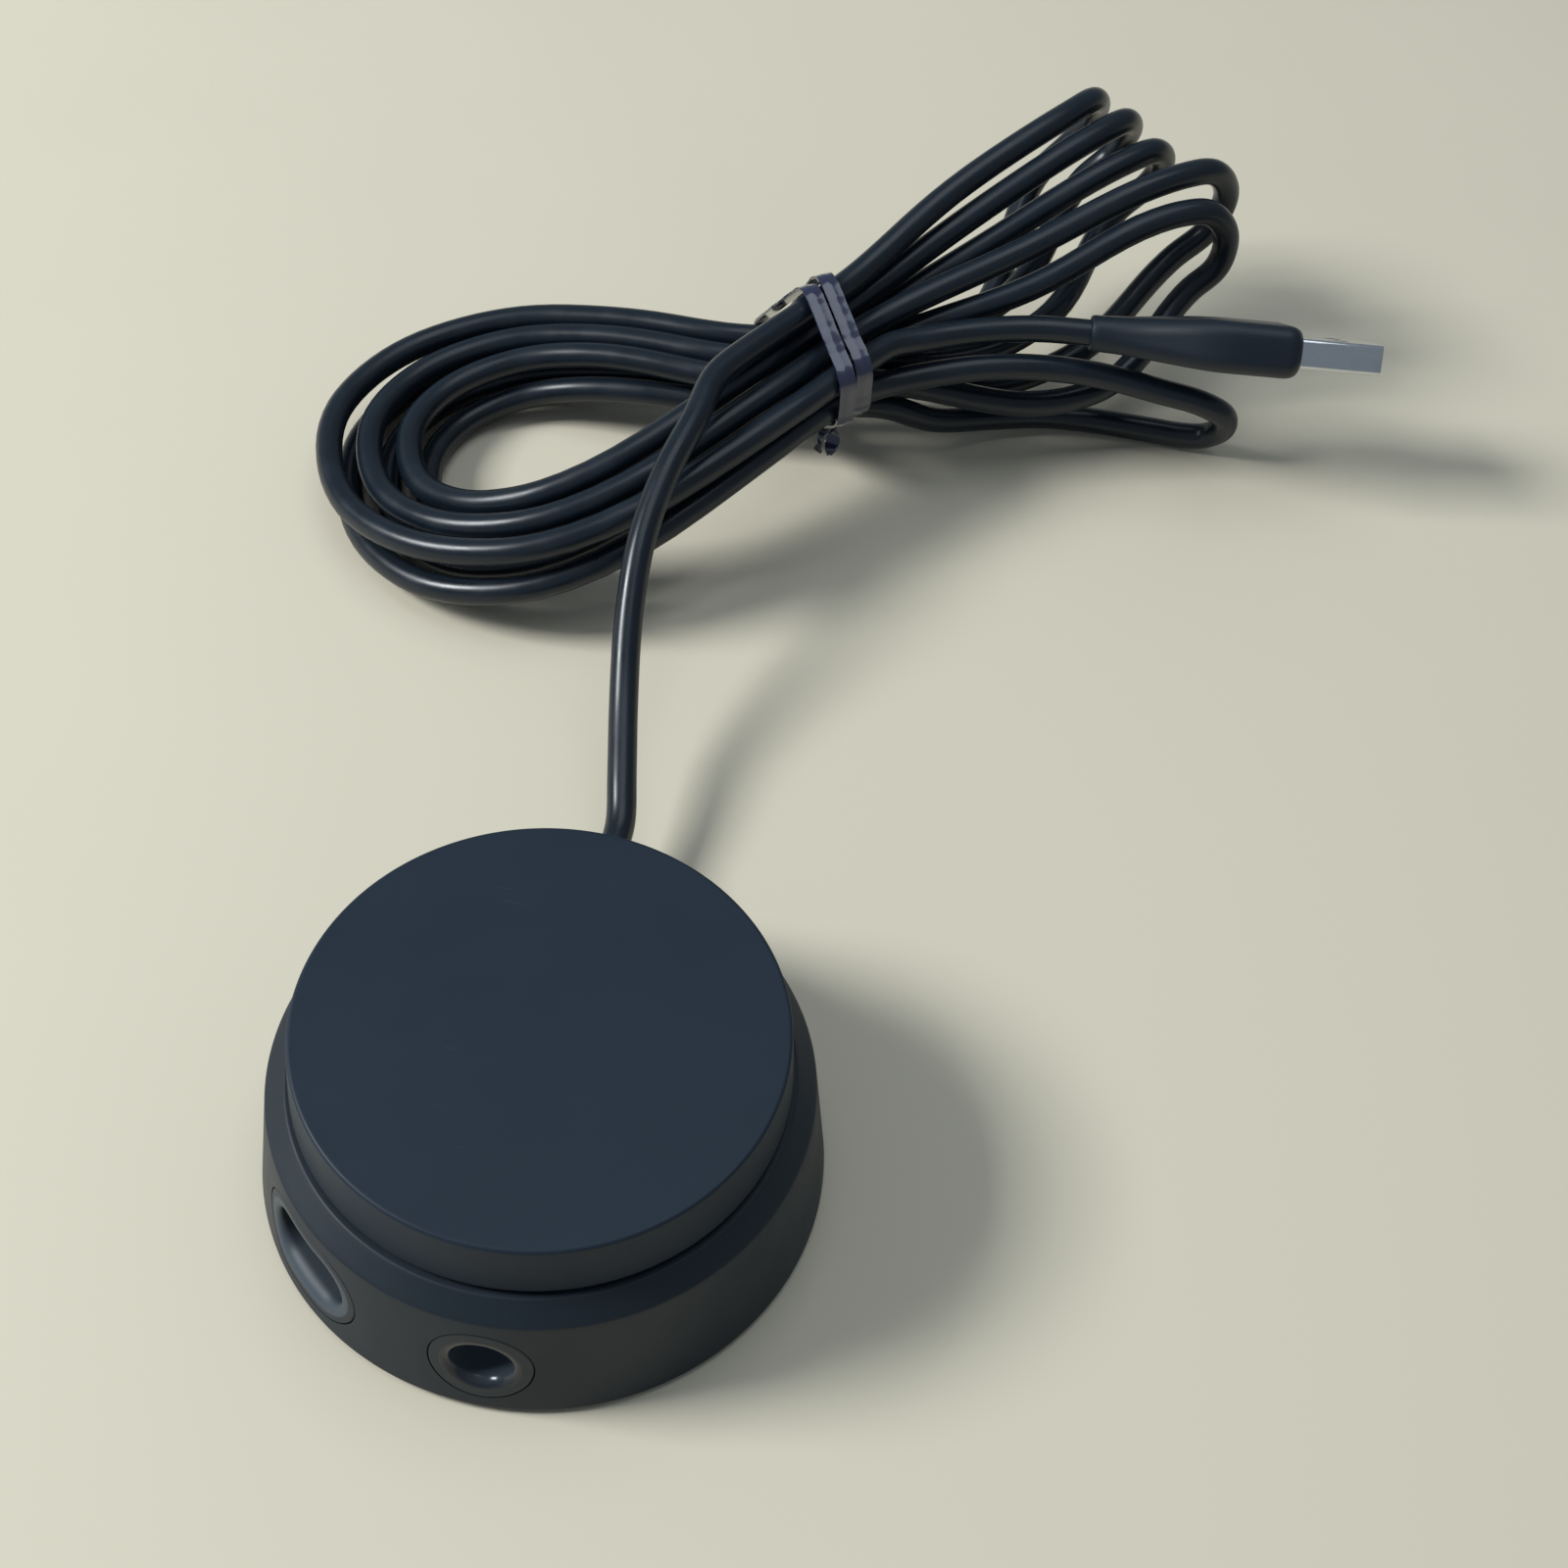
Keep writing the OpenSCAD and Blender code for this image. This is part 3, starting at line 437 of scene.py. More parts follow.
# Geometry Nodes
class Tree:
    """A node tree with named inputs, which ends in Realize Instances and Set Material."""

    def __init__(self, name, **sizes):
        self.group = bpy.data.node_groups.new(name, "GeometryNodeTree")
        face = self.group.interface
        face.new_socket("Geometry", in_out="INPUT", socket_type="NodeSocketGeometry")
        for label, kind in sizes.items():
            face.new_socket(label.replace("_", " "), in_out="INPUT", socket_type="NodeSocket" + kind)
        face.new_socket("Material", in_out="INPUT", socket_type="NodeSocketMaterial")
        face.new_socket("Geometry", in_out="OUTPUT", socket_type="NodeSocketGeometry")
        self.given = self.add("NodeGroupInput").outputs

    def add(self, kind, **settings):
        node = self.group.nodes.new(kind)
        for key, value in settings.items():
            setattr(node, key, value)
        return node

    def join(self, source, node, socket):
        self.group.links.new(source, node.inputs[socket])
        return node

    def math(self, operation, a, b):
        node = self.add("ShaderNodeMath", operation=operation)
        for k, value in enumerate((a, b)):
            if isinstance(value, (int, float)):
                node.inputs[k].default_value = value
            else:
                self.group.links.new(value, node.inputs[k])
        return node.outputs["Value"]

    def moved(self, geometry, rise):
        """Geometry moved along Z."""
        way = self.join(rise, self.add("ShaderNodeCombineXYZ"), "Z")
        node = self.join(geometry, self.add("GeometryNodeTransform"), "Geometry")
        return self.join(way.outputs["Vector"], node, "Translation").outputs["Geometry"]

    def end(self, geometry):
        real = self.join(geometry, self.add("GeometryNodeRealizeInstances"), "Geometry")
        dressed = self.join(real.outputs["Geometry"], self.add("GeometryNodeSetMaterial"), "Geometry")
        self.join(self.given["Material"], dressed, "Material")
        self.join(dressed.outputs["Geometry"], self.add("NodeGroupOutput"), "Geometry")
        return self.group


def run_tree(name, group, mesh, skin, **sizes):
    """Mesh that a tree makes from the given one, with its inputs set by their identifiers."""
    carrier = linked(name, mesh)
    modifier = carrier.modifiers.new(group.name, "NODES")
    modifier.node_group = group
    sizes["Material"] = SKINS[skin]
    for item in group.interface.items_tree:
        label = item.name.replace(" ", "_")
        if item.in_out == "INPUT" and label in sizes:
            modifier[item.identifier] = sizes[label]
    return evaluated(name, carrier)


def turning_tree():
    """Turns a profile, drawn in X and Z, about the Z axis, with its corners rounded."""
    tree = Tree("turned_profile", Segments="Int", Corner_Steps="Int", Sweep_Radius="Float")
    line = tree.join(tree.given["Geometry"], tree.add("GeometryNodeMeshToCurve"), "Mesh")
    rounding = tree.add("GeometryNodeInputNamedAttribute", data_type="FLOAT")
    fill(rounding, Name="rounding")
    fillet = tree.join(line.outputs["Curve"], tree.add("GeometryNodeFilletCurve", mode="POLY"), "Curve")
    tree.join(tree.given["Corner Steps"], fillet, "Count")
    tree.join(rounding.outputs["Attribute"], fillet, "Radius")
    fill(fillet, Limit_Radius=True)
    place = tree.add("ShaderNodeSeparateXYZ")
    tree.join(tree.add("GeometryNodeInputPosition").outputs["Position"], place, "Vector")
    across = tree.add("ShaderNodeCombineXYZ")
    tree.join(tree.math("SUBTRACT", place.outputs["X"], tree.given["Sweep Radius"]), across, "X")
    tree.join(tree.math("MULTIPLY", place.outputs["Z"], -1.0), across, "Y")
    section = tree.join(fillet.outputs["Curve"], tree.add("GeometryNodeSetPosition"), "Geometry")
    tree.join(across.outputs["Vector"], section, "Position")
    circle = tree.add("GeometryNodeCurvePrimitiveCircle", mode="RADIUS")
    tree.join(tree.given["Segments"], circle, "Resolution")
    tree.join(tree.given["Sweep Radius"], circle, "Radius")
    sweep = tree.join(circle.outputs["Curve"], tree.add("GeometryNodeCurveToMesh"), "Curve")
    tree.join(section.outputs["Geometry"], sweep, "Profile Curve")
    merged = tree.join(sweep.outputs["Mesh"], tree.add("GeometryNodeMergeByDistance"), "Geometry")
    fill(merged, Distance=1e-6)
    return tree.end(merged.outputs["Geometry"])


TURNING = turning_tree()


def profile_mesh(name, corners):
    """Closed loop of edges through corners (radius, height, rounding), with points beside the rounded."""
    clear, room = 0.2, 2.4
    points = []
    for i, (r, z, rounding) in enumerate(corners):
        here, beside = np.array((r, z)), rounding + clear
        for side, other in enumerate((corners[i - 1], corners[(i + 1) % len(corners)])):
            way = np.array(other[:2]) - here
            reach = np.linalg.norm(way)
            if side == 1:
                points.append((r, z, rounding))
            if rounding and reach > room * beside:
                points.append((*(here + way / reach * beside), 0.0))
    mesh = bpy.data.meshes.new(name)
    loop = [(k, (k + 1) % len(points)) for k in range(len(points))]
    mesh.from_pydata([(MM * r, 0, MM * z) for r, z, _ in points], loop, [])
    mark_points(mesh, "rounding", [MM * rounding for _, _, rounding in points])
    return mesh


def turned(name, skin, corners):
    """Body of revolution about Z from the corners of its profile, in millimetres."""
    profile = profile_mesh(name, corners)
    mesh = run_tree(name, TURNING, profile, skin, Segments=224, Corner_Steps=6, Sweep_Radius=20 * MM)
    return smooth(facing_out(mesh))


# Cord: the route of the part's source, in the same steps and sizes
PITCH = 4.9
FRONT_AT, BACK_AT = np.array((14, 124.5, 17.0)), np.array((12, 136, 17.0))
FRONT_DIR, BACK_DIR = np.array((0.559, 0.829, 0)), np.array((0.98, 0.2, 0))
FRONT_SIDE, BACK_SIDE = np.array((0.829, -0.559, 0)), np.array((0.2, -0.98, 0))
UP = np.array((0, 0, 1.0))
TURN_COL, TURN_ROW = (1, -1, 0, 0, -1, 1), (0, 0, 1, 0, 1, 1)
LEAD_COL, LEAD_ROW = -1, 2
CROSS_HALF, LEVEL_HALF = 2.8, 11
LEFT_AT, LEFT_RX, LEFT_RY, LEFT_Z, LEFT_ROW = (-26, 114.3), 17, 15.75, 2.3, 5.4
LEFT_STEP, LEFT_NEST, LEFT_ACROSS = 5.6, 2.8, 1.08
LEFT_BEHIND, LEFT_BEFORE, LEFT_BEFORE_LOW = 0.83, 0.94, 4.4
LEFT_ANGLES = (75, 110, 145, 180, 215, 248, 280)
LEFT_SINK = ((0.3, 0.75, 1, 1, 1, 0.85, 0.6), (0.3, 0.75, 1, 1, 1, 0.8, 0.52))
LEFT_TURN = 3
FAN_RANK = (0, 0, 2, 3, 4, 1)
FAN_TIPS = np.array([(50.5, 177.5, 42.5), (55.3, 174.3, 41), (60.3, 170.8, 38.8), (70, 168.5, 39.2),
                     (69.5, 161.8, 36)])
FAN_FOLD, FAN_BOW = (9.5, 8, 8, 9.5, 7.5), (-1.7, -0.8, -0.2, 0, 2)
FAN_LEAN = np.array([(0, 0.7, -1), (0, 0.6, -1), (0.05, 0.5, -1), (0.15, 0.25, -1), (0.25, 0, -1)])
FAN_RETURN, FAN_RETURN_RISE = (25, 29, 33, 37, 43), (2, 2, 2, 2, -5)
FAN_RETURN_OPEN = (1.35, 1.35, 1.35, 1.35, 1)
FAN_RETURN_CUT = ((0.25, 0.4), (0.25, 0.4), (0.25, 0.35), (0.25, 0.3), (0.2, 0.2))
LOW_TURN = 1
LOW_ROUTE = [(24, 128, 18.6), (30, 131, 18.9), (38.8, 134.3, 19.3), (50.5, 137.8, 18),
             (57.5, 139.5, 16.3), (64.9, 140.4, 14.4), (72.6, 141.1, 12.4), (75.9, 141.9, 10),
             (76.4, 143.3, 6.2), (73.9, 144.4, 3.1), (70.5, 144.6, 2.4), (66, 144.7, 2.4),
             (58, 144.9, 2.4), (49, 144.4, 2.4), (40, 141.3, 3), (31, 136.2, 5.4)]
LEAD_ROUTE = [(0, 46, 8.2), (-1, 52, 10), (-3, 63, 13), (-4.5, 74, 18.5), (-4.7, 84, 23.5),
              (-3.3, 93.5, 27), (-1, 103, 28.8)]
TAIL_ROUTE = [(29, 133.2, 24), (37, 136.8, 24), (45, 139.1, 24)]
PLUG_AT, PLUG_TURN, PLUG_ROLL = np.array((53, 140, 24.0)), math.radians(5), math.radians(37.5)
PLUG_DIR = np.array((math.cos(PLUG_TURN), math.sin(PLUG_TURN), 0))
CURVE_STEPS, EASING_ROUNDS, CORD_SIDES = 8, 3, 20


def front_point(k, t):
    """Place of a front strand at the tie, t along its run; the lead's strand is the one before turn 0."""
    col, row = (LEAD_COL, LEAD_ROW) if k < 0 else (TURN_COL[k], TURN_ROW[k])
    return FRONT_AT + t * FRONT_DIR + col * PITCH * FRONT_SIDE + (CROSS_HALF + row * PITCH) * UP


def back_point(k, t, rise=0, open_out=1):
    """Place of a back strand at the tie, which mirrors its turn's front strand."""
    low = rise - CROSS_HALF - (1 - TURN_ROW[k]) * PITCH * open_out
    return BACK_AT + t * BACK_DIR - TURN_COL[k] * PITCH * open_out * BACK_SIDE + low * UP


def left_lobe(k):
    """Left loop of one turn, which sinks from the tie to the floor and rises again."""
    row = TURN_ROW[k]
    out = (TURN_COL[k] + 1) * LEFT_STEP + row * LEFT_NEST
    behind = LEFT_RY + LEFT_BEHIND * out
    before = LEFT_RY + LEFT_BEFORE * out + (1 - row) * LEFT_BEFORE_LOW
    low = LEFT_Z + row * LEFT_ROW
    points = []
    for i, (angle, sink) in enumerate(zip(LEFT_ANGLES, LEFT_SINK[row])):
        a = math.radians(angle)
        start = back_point(k, 0)[2] if i < LEFT_TURN else front_point(k, 0)[2]
        points.append((LEFT_AT[0] + (LEFT_RX + LEFT_ACROSS * out) * math.cos(a),
                       LEFT_AT[1] + (behind if angle < 180 else before) * math.sin(a),
                       low * sink + start * (1 - sink)))
    return points


def fan_loop(k):
    """Right loop of one turn: out along a straight line, round a half circle, and back below."""
    rank, start = FAN_RANK[k], front_point(k - 1, LEVEL_HALF)
    tip, lean, fold = FAN_TIPS[rank], FAN_LEAN[rank], FAN_FOLD[rank]
    out, reach = unit(tip - start), np.linalg.norm(tip - start)
    down = unit(lean - out * np.dot(lean, out))
    middle = start + out * (reach - fold) + down * fold
    points = [start, start + out * (reach - fold) / 2 + FRONT_SIDE * FAN_BOW[rank]]
    for angle in range(0, 181, 45):
        a = math.radians(angle)
        points.append(middle - down * fold * math.cos(a) + out * fold * math.sin(a))
    corner = back_point(k, FAN_RETURN[rank], FAN_RETURN_RISE[rank], FAN_RETURN_OPEN[rank])
    before, after = FAN_RETURN_CUT[rank]
    end = back_point(k, LEVEL_HALF)
    return points + [corner + before * (points[-1] - corner), corner + after * (end - corner)]


def curve_through(points, steps):
    """Smooth line through points, with slopes that allow for uneven spacing and straight end steps."""
    p = np.array(points, float)
    gap = np.linalg.norm(np.diff(p, axis=0), axis=1)
    slopes = [unit(p[1] - p[0])] * 2
    for i in range(2, len(p) - 2):
        a, b = gap[i - 1], gap[i]
        slopes.append(((p[i] - p[i - 1]) * b / a + (p[i + 1] - p[i]) * a / b) / (a + b))
    slopes += [unit(p[-1] - p[-2])] * 2
    line = [p[0]]
    for i in range(1, len(p) - 2):
        for k in range(steps):
            t = k / steps
            line.append((2 * t**3 - 3 * t**2 + 1) * p[i] + (t**3 - 2 * t**2 + t) * gap[i] * slopes[i]
                        + (3 * t**2 - 2 * t**3) * p[i + 1] + (t**3 - t**2) * gap[i] * slopes[i + 1])
    return np.array(line + [p[-2], p[-1]])


def cord_routes():
    """Points of the lead, of the tied hank and of the tail, each starting where the one before ends."""
    turns, straight = len(TURN_COL), 2 * CORD_R
    lead_join, tail_join = front_point(-1, -LEVEL_HALF), front_point(turns - 1, straight)
    lead = [(0, GLAND_END, CORD_Z), (0, GLAND_END + straight, CORD_Z), *LEAD_ROUTE,
            lead_join - straight * FRONT_DIR, lead_join]
    hank = [lead_join, lead_join + straight * FRONT_DIR]
    for k in range(turns):
        if k:
            hank.append(front_point(k - 1, -LEVEL_HALF))
        hank.append(front_point(k - 1, 0))
        hank += LOW_ROUTE if k == LOW_TURN else fan_loop(k)
        hank += [back_point(k, t) for t in (LEVEL_HALF, 0, -LEVEL_HALF)]
        hank += left_lobe(k)
    hank += [front_point(turns - 1, -LEVEL_HALF), front_point(turns - 1, 0), tail_join]
    tail = [tail_join, tail_join + straight * FRONT_DIR, *TAIL_ROUTE,
            PLUG_AT - straight * PLUG_DIR, PLUG_AT]
    return lead, hank, tail


def eased(line, rounds):
    """Line with its small changes of bend evened out, its ends kept."""
    line = line.copy()
    for _ in range(rounds):
        line[2:-2] = line[2:-2] * 0.5 + (line[1:-3] + line[3:-1]) * 0.25
    return line


def carried_sides(line):
    """Heading and side vector at each point of a line, carried along without twist."""
    step = np.diff(line, axis=0)
    step /= np.linalg.norm(step, axis=1)[:, None]
    heading = np.vstack((step[:1], step[1:] + step[:-1], step[-1:]))
    heading /= np.linalg.norm(heading, axis=1)[:, None]
    side = [unit(np.cross(heading[0], (0, 0, 1.0)))]
    for h in heading[1:]:
        side.append(unit(side[-1] - h * np.dot(side[-1], h)))
    return heading, np.array(side)


def cord_mesh(name, line, radius, sides):
    """Round tube along a line, with a map of the way round and of the length along it in metres."""
    heading, side = carried_sides(line)
    other = np.cross(heading, side)
    count = len(line)
    angles = np.linspace(0, 2 * math.pi, sides, endpoint=False)
    ring = np.cos(angles)[None, :, None] * side[:, None] + np.sin(angles)[None, :, None] * other[:, None]
    points = (line[:, None] + radius * ring).reshape(-1, 3) * MM
    along = np.concatenate(([0], np.cumsum(np.linalg.norm(np.diff(line, axis=0), axis=1)))) * MM
    faces, spots = [], []
    for i in range(count - 1):
        a, b = i * sides, (i + 1) * sides
        for k in range(sides):
            n = (k + 1) % sides
            faces.append((a + k, a + n, b + n, b + k))
            left, right = k / sides, (k + 1) / sides
            spots += [(left, along[i]), (right, along[i]), (right, along[i + 1]), (left, along[i + 1])]
    faces += [tuple(range(sides))[::-1], tuple(range((count - 1) * sides, count * sides))]
    spots += [(0, 0)] * sides + [(0, along[-1])] * sides
    mesh = bpy.data.meshes.new(name)
    mesh.from_pydata(points.tolist(), [], faces)
    layer = mesh.uv_layers.new(name="cord_map")
    layer.data.foreach_set("uv", np.array(spots, float).ravel())
    return smooth(mesh, 50)


def make_cord():
    lead, hank, tail = (curve_through(route, CURVE_STEPS) for route in cord_routes())
    line = eased(np.vstack((lead, hank[1:], tail[1:])), EASING_ROUNDS)
    mesh = cord_mesh("cord", line, CORD_R, CORD_SIDES)
    cord = piece_from("cord", mesh, "cord", "base", "cord_skin", "cord_lead", "cord_hank", "cord_tail")
    return cord, line


cord, cord_line = make_cord()


# Dial and base, both turned
def make_dial():
    """Cap with a softly rounded top edge, a rim that hangs over the deck and a boss for the hub."""
    inner = DIAL_TOP_R - DIAL_WALL
    under = DIAL_Z - DIAL_TOP_T
    corners = [(0, DIAL_Z, 0), (DIAL_TOP_R / 2 - 0.5, DIAL_Z, 0), (DIAL_TOP_R, DIAL_Z, DIAL_EDGE),
               (DIAL_RIM_R, RIM_Z, 0.3), (inner, RIM_Z, 0.25), (inner, under, 0.4),
               (HUB_BOSS_R, under, 0), (HUB_BOSS_R, HUB_Z, 0.2), (HUB_HOLE_R, HUB_Z, 0),
               (HUB_HOLE_R, under, 0), (0, under, 0)]
    return piece_from("dial", turned("dial", "dial", corners), "dial", "dial", "dial_plastic", "dial_cap")


def prism(name, outline, place, depth):
    """Cutter: an outline of points swept along depth, both set by place(t, z, y)."""
    return loft(name, [[place(t, z, y) for t, z in outline] for y in depth])


def obround(width, height, inset):
    """Points round a slot outline with round ends, drawn in from its edge."""
    arc, straight = 32, 12
    r, half = height / 2 - inset, (width - height) / 2
    points = []
    for sign, start in ((1, -90), (-1, 90)):
        for k in range(arc + 1):
            a = math.radians(start + 180 * k / arc)
            points.append((sign * half + r * math.cos(a), r * math.sin(a)))
        if width > height:
            points += [(sign * half * (1 - 2 * k / straight), sign * r) for k in range(1, straight)]
    return points if width > height else points[:arc] + points[arc + 1:-1]


def at_socket(turn):
    """Maps across, height and depth at a socket to the part's frame; depth grows towards the middle."""
    c, s = math.cos(math.radians(turn)), math.sin(math.radians(turn))
    return lambda t, z, y: (c * t - s * y, s * t + c * y, SOCKET_Z + z)


def screw_spots():
    """Places of the cover screws, seen from above."""
    ways = [math.radians(angle) for angle in SCREW_ANGLES]
    return [(SCREW_REACH * math.cos(way), SCREW_REACH * math.sin(way)) for way in ways]


def rods(name, radius, low, high):
    """Upright rods at the places of the cover screws."""
    angles = np.linspace(0, 2 * math.pi, 48, endpoint=False)
    ring = [(radius * math.cos(a), radius * math.sin(a)) for a in angles]
    each = [[[(x + u, y + v, z) for u, v in ring] for z in (low, high)] for x, y in screw_spots()]
    return joined_mesh(name, [loft(name, rings) for rings in each])


def at_cord_hole(t, z, y):
    return (t, y, CORD_Z + z)


def make_base():
    """Wall, shoulder, deck and encoder well in one profile, with screw bosses and the holes cut."""
    cover_inner = inner_r(COVER_TOP)
    ceiling = DECK_Z - DECK_T
    boss = WELL_R + WELL_WALL
    corners = [(COVER_SEAT_R, FOOT_Z, 0), (BASE_R, FOOT_Z, 0.5), (SHOULDER_R, SHOULDER_Z, 0.7),
               (DECK_R, DECK_Z, 0.5), (WELL_R, DECK_Z, 0.2), (WELL_R, SEAT_Z, 0),
               (BUSHING_HOLE_R, SEAT_Z, 0), (BUSHING_HOLE_R, ENCODER_TOP, 0), (boss, ENCODER_TOP, 0),
               (boss, ceiling, 0), (inner_r(ceiling - 1) - 1, ceiling, 0),
               (inner_r(ceiling - 1), ceiling - 1, 0), (cover_inner, COVER_TOP, 0),
               (COVER_SEAT_R, COVER_TOP, 0)]
    grow = 2 * INSERT_GAP
    round_hole = obround(INSERT_H + grow, INSERT_H + grow, 0)
    wide_hole = obround(WIDE_INSERT_W + grow, INSERT_H + grow, 0)
    cord_hole = obround(2 * CORD_HOLE_R, 2 * CORD_HOLE_R, 0)
    front, back = (-40, -INSERT_BACK), (26, 40)
    mesh = carved("base", turned("base", "base", corners),
                  ("UNION", rods("bosses", BOSS_R, COVER_TOP, BOSS_TOP)),
                  ("DIFFERENCE", rods("screw_holes", SCREW_HOLE_R, COVER_TOP - 1, SCREW_HOLE_TOP)),
                  ("DIFFERENCE", prism("round_hole", round_hole, at_socket(0), front)),
                  ("DIFFERENCE", prism("wide_hole", wide_hole, at_socket(WIDE_TURN), front)),
                  ("DIFFERENCE", prism("cord_hole", cord_hole, at_cord_hole, back)))
    return piece_from("base_body", smooth(mesh, 28), "base", "base", "charcoal_plastic", "base_shell")


make_dial()
make_base()


# Socket inserts: a face that follows the base wall, a rounded lip and the recess behind it
def insert_rings(lip, inset, hole):
    """Rings of an insert from its back over the face into the recess, and how many come before the lip.

    Each ring says how far it is drawn in, how far back it lies and how closely it follows the curved wall.
    """
    flat = -outer_r(SOCKET_Z)
    back = -INSERT_BACK - flat
    edge = [(0.0, back, 0), (0.0, 4.0, 0.5), (0.0, 0.3, 1), (0.0, 0.12, 1), (0.04, 0.04, 1),
            (0.12, 0.0, 1), (0.3, 0.0, 1), (inset - lip - 0.15, 0.0, 1)]
    curl = [(inset - lip * (1 - math.sin(a)), lip * (1 - math.cos(a)), math.cos(a))
            for a in np.radians(np.linspace(0, 90, 10))]
    if hole:
        floor, bore = -ROUND_FLOOR - flat, INSERT_H / 2 - hole
        inside = [(inset, floor - 0.3, 0), (inset + 0.1, floor - 0.08, 0), (inset + 0.3, floor, 0),
                  (bore, floor, 0), (bore, back, 0)]
    else:
        inside = [(inset, 5.0, 0), (inset, back, 0)]
    return edge + curl + inside, len(edge)


def make_insert(name, width, turn, lip, inset, hole, polish, pale, rim):
    """Insert as one closed loft, with maps of how polished its recess is and of the painted light in it,
    which grows further in and on the lip.
    """
    place = at_socket(turn)
    flat = -outer_r(SOCKET_Z)
    full_depth = 3
    outline, before_lip = insert_rings(lip, inset, hole)
    rings, recess, deep = [], [], []
    for k, (drawn_in, depth, follow) in enumerate(outline):
        ring = []
        for t, z in obround(width, INSERT_H, drawn_in):
            face = -math.sqrt(outer_r(SOCKET_Z + z) ** 2 - t**2)
            ring.append(place(t, z, flat + (face - flat) * follow + depth))
        rings.append(ring)
        in_recess = k >= before_lip
        # Painted light: paler further into the recess by pale, and paler on the lip near its edge by rim.
        painted_amount = max(pale * min(1.0, depth / full_depth), rim * (1 - depth / lip))
        recess += [polish * in_recess] * len(ring)
        deep += [painted_amount * in_recess] * len(ring)
    mesh = smooth(loft(name, rings, closed=True, recess=recess, deep=deep), 40)
    return piece_from(name, mesh, "socket", "base", "gloss_black", name + "_insert")


# pale and rim set how much painted light each recess gets.
make_insert("round_socket", INSERT_H, 0, lip=1.1, inset=2.5, hole=2.85, polish=1.0, pale=0.7, rim=0.0)
make_insert("wide_socket", WIDE_INSERT_W, WIDE_TURN, lip=1.4, inset=2.4, hole=0,
            polish=0.0, pale=0.1, rim=0.26)


# Plug
def at_plug(x, y, z):
    """Point of the plug, x along it from its back, in the part's frame."""
    c, s = math.cos(-PLUG_ROLL), math.sin(-PLUG_ROLL)
    y, z = c * y - s * z, s * y + c * z
    c, s = math.cos(PLUG_TURN), math.sin(PLUG_TURN)
    return (PLUG_AT[0] + c * x - s * y, PLUG_AT[1] + s * x + c * y, PLUG_AT[2] + z)


def rounded_ring(x, width, thick, corner):
    """Rectangle with round corners across the plug."""
    arc, straight = 8, 4
    points = []
    w, t = width / 2 - corner, thick / 2 - corner
    middles = [(w, t), (-w, t), (-w, -t), (w, -t)]
    for k, (y, z) in enumerate(middles):
        for i in range(arc + 1):
            a = math.radians(90 * k + 90 * i / arc)
            points.append((y + corner * math.cos(a), z + corner * math.sin(a)))
        next_y, next_z = middles[(k + 1) % 4]
        a = math.radians(90 * (k + 1))
        for i in range(1, straight):
            f = i / straight
            points.append((y + (next_y - y) * f + corner * math.cos(a),
                           z + (next_z - z) * f + corner * math.sin(a)))
    return [at_plug(x, y, z) for y, z in points]


def make_overmould():
    """Grip that swells from the cord to the shell, and rounds off at its front."""
    end_w, end_t, front_w, front_t, corner = 6.2, 5.4, 15.4, 7.8, 2.3
    swell_start, swell_end, steps = 0.5, 0.68 * OVERMOULD_LEN, 24
    softer_end, nose_draw = 0.2, 0.65
    rings = [rounded_ring(0, end_w - 1.0, end_t - 1.0, 2.05),
             rounded_ring(0.15, end_w - 0.3, end_t - 0.3, 2.35)]
    for k in range(steps + 1):
        t = k / steps
        ease = t * t * (3 - 2 * t)
        x = swell_start + t * (swell_end - swell_start)
        rings.append(rounded_ring(x, end_w + (front_w - end_w) * ease, end_t + (front_t - end_t) * ease,
                                  corner + softer_end * (1 - ease)))
    rings.append(rounded_ring(OVERMOULD_LEN - corner - 0.4, front_w, front_t, corner))
    for a in np.radians(np.linspace(0, 90, 8)):
        draw = 2 * corner * (1 - math.cos(a)) * nose_draw
        x = OVERMOULD_LEN - corner * (1 - math.sin(a))
        rings.append(rounded_ring(x, front_w - draw, front_t - draw, corner))
    mesh = smooth(loft("plug_body", rings), 40)
    return piece_from("plug_body", mesh, "moulding", "base", "cord_skin", "plug_overmould")


def make_shell():
    """Folded metal shell with a rolled front edge and two windows in each broad face."""
    corner, window_len, window_w, window_cut = 0.7, 2, 2.4, 4
    window_x = OVERMOULD_LEN + 0.42 * SHELL_LEN
    outer = [(0, 0), (SHELL_LEN - 0.12, 0), (SHELL_LEN - 0.03, 0.05), (SHELL_LEN, 0.13)]
    inner = [(SHELL_LEN, SHELL_WALL - 0.1), (SHELL_LEN - 0.08, SHELL_WALL), (0, SHELL_WALL)]
    rings = [rounded_ring(OVERMOULD_LEN + x, SHELL_W - 2 * d, SHELL_T - 2 * d, corner - d)
             for x, d in outer + inner]
    windows = []
    for side in (-1, 1):
        y = side * SHELL_W / 4
        low, high, end = y - window_w / 2, y + window_w / 2, window_x + window_len
        corners = [(window_x, low), (end, low), (end, high), (window_x, high)]
        through = [[at_plug(a, b, z) for a, b in corners] for z in (-window_cut, window_cut)]
        windows.append(("DIFFERENCE", loft("window", through)))
    mesh = carved("plug_metal", loft("plug_metal", rings, closed=True), *windows)
    return piece_from("plug_metal", smooth(mesh, 30), "nickel", "base", "plug_nickel", "plug_shell")


make_overmould()
make_shell()


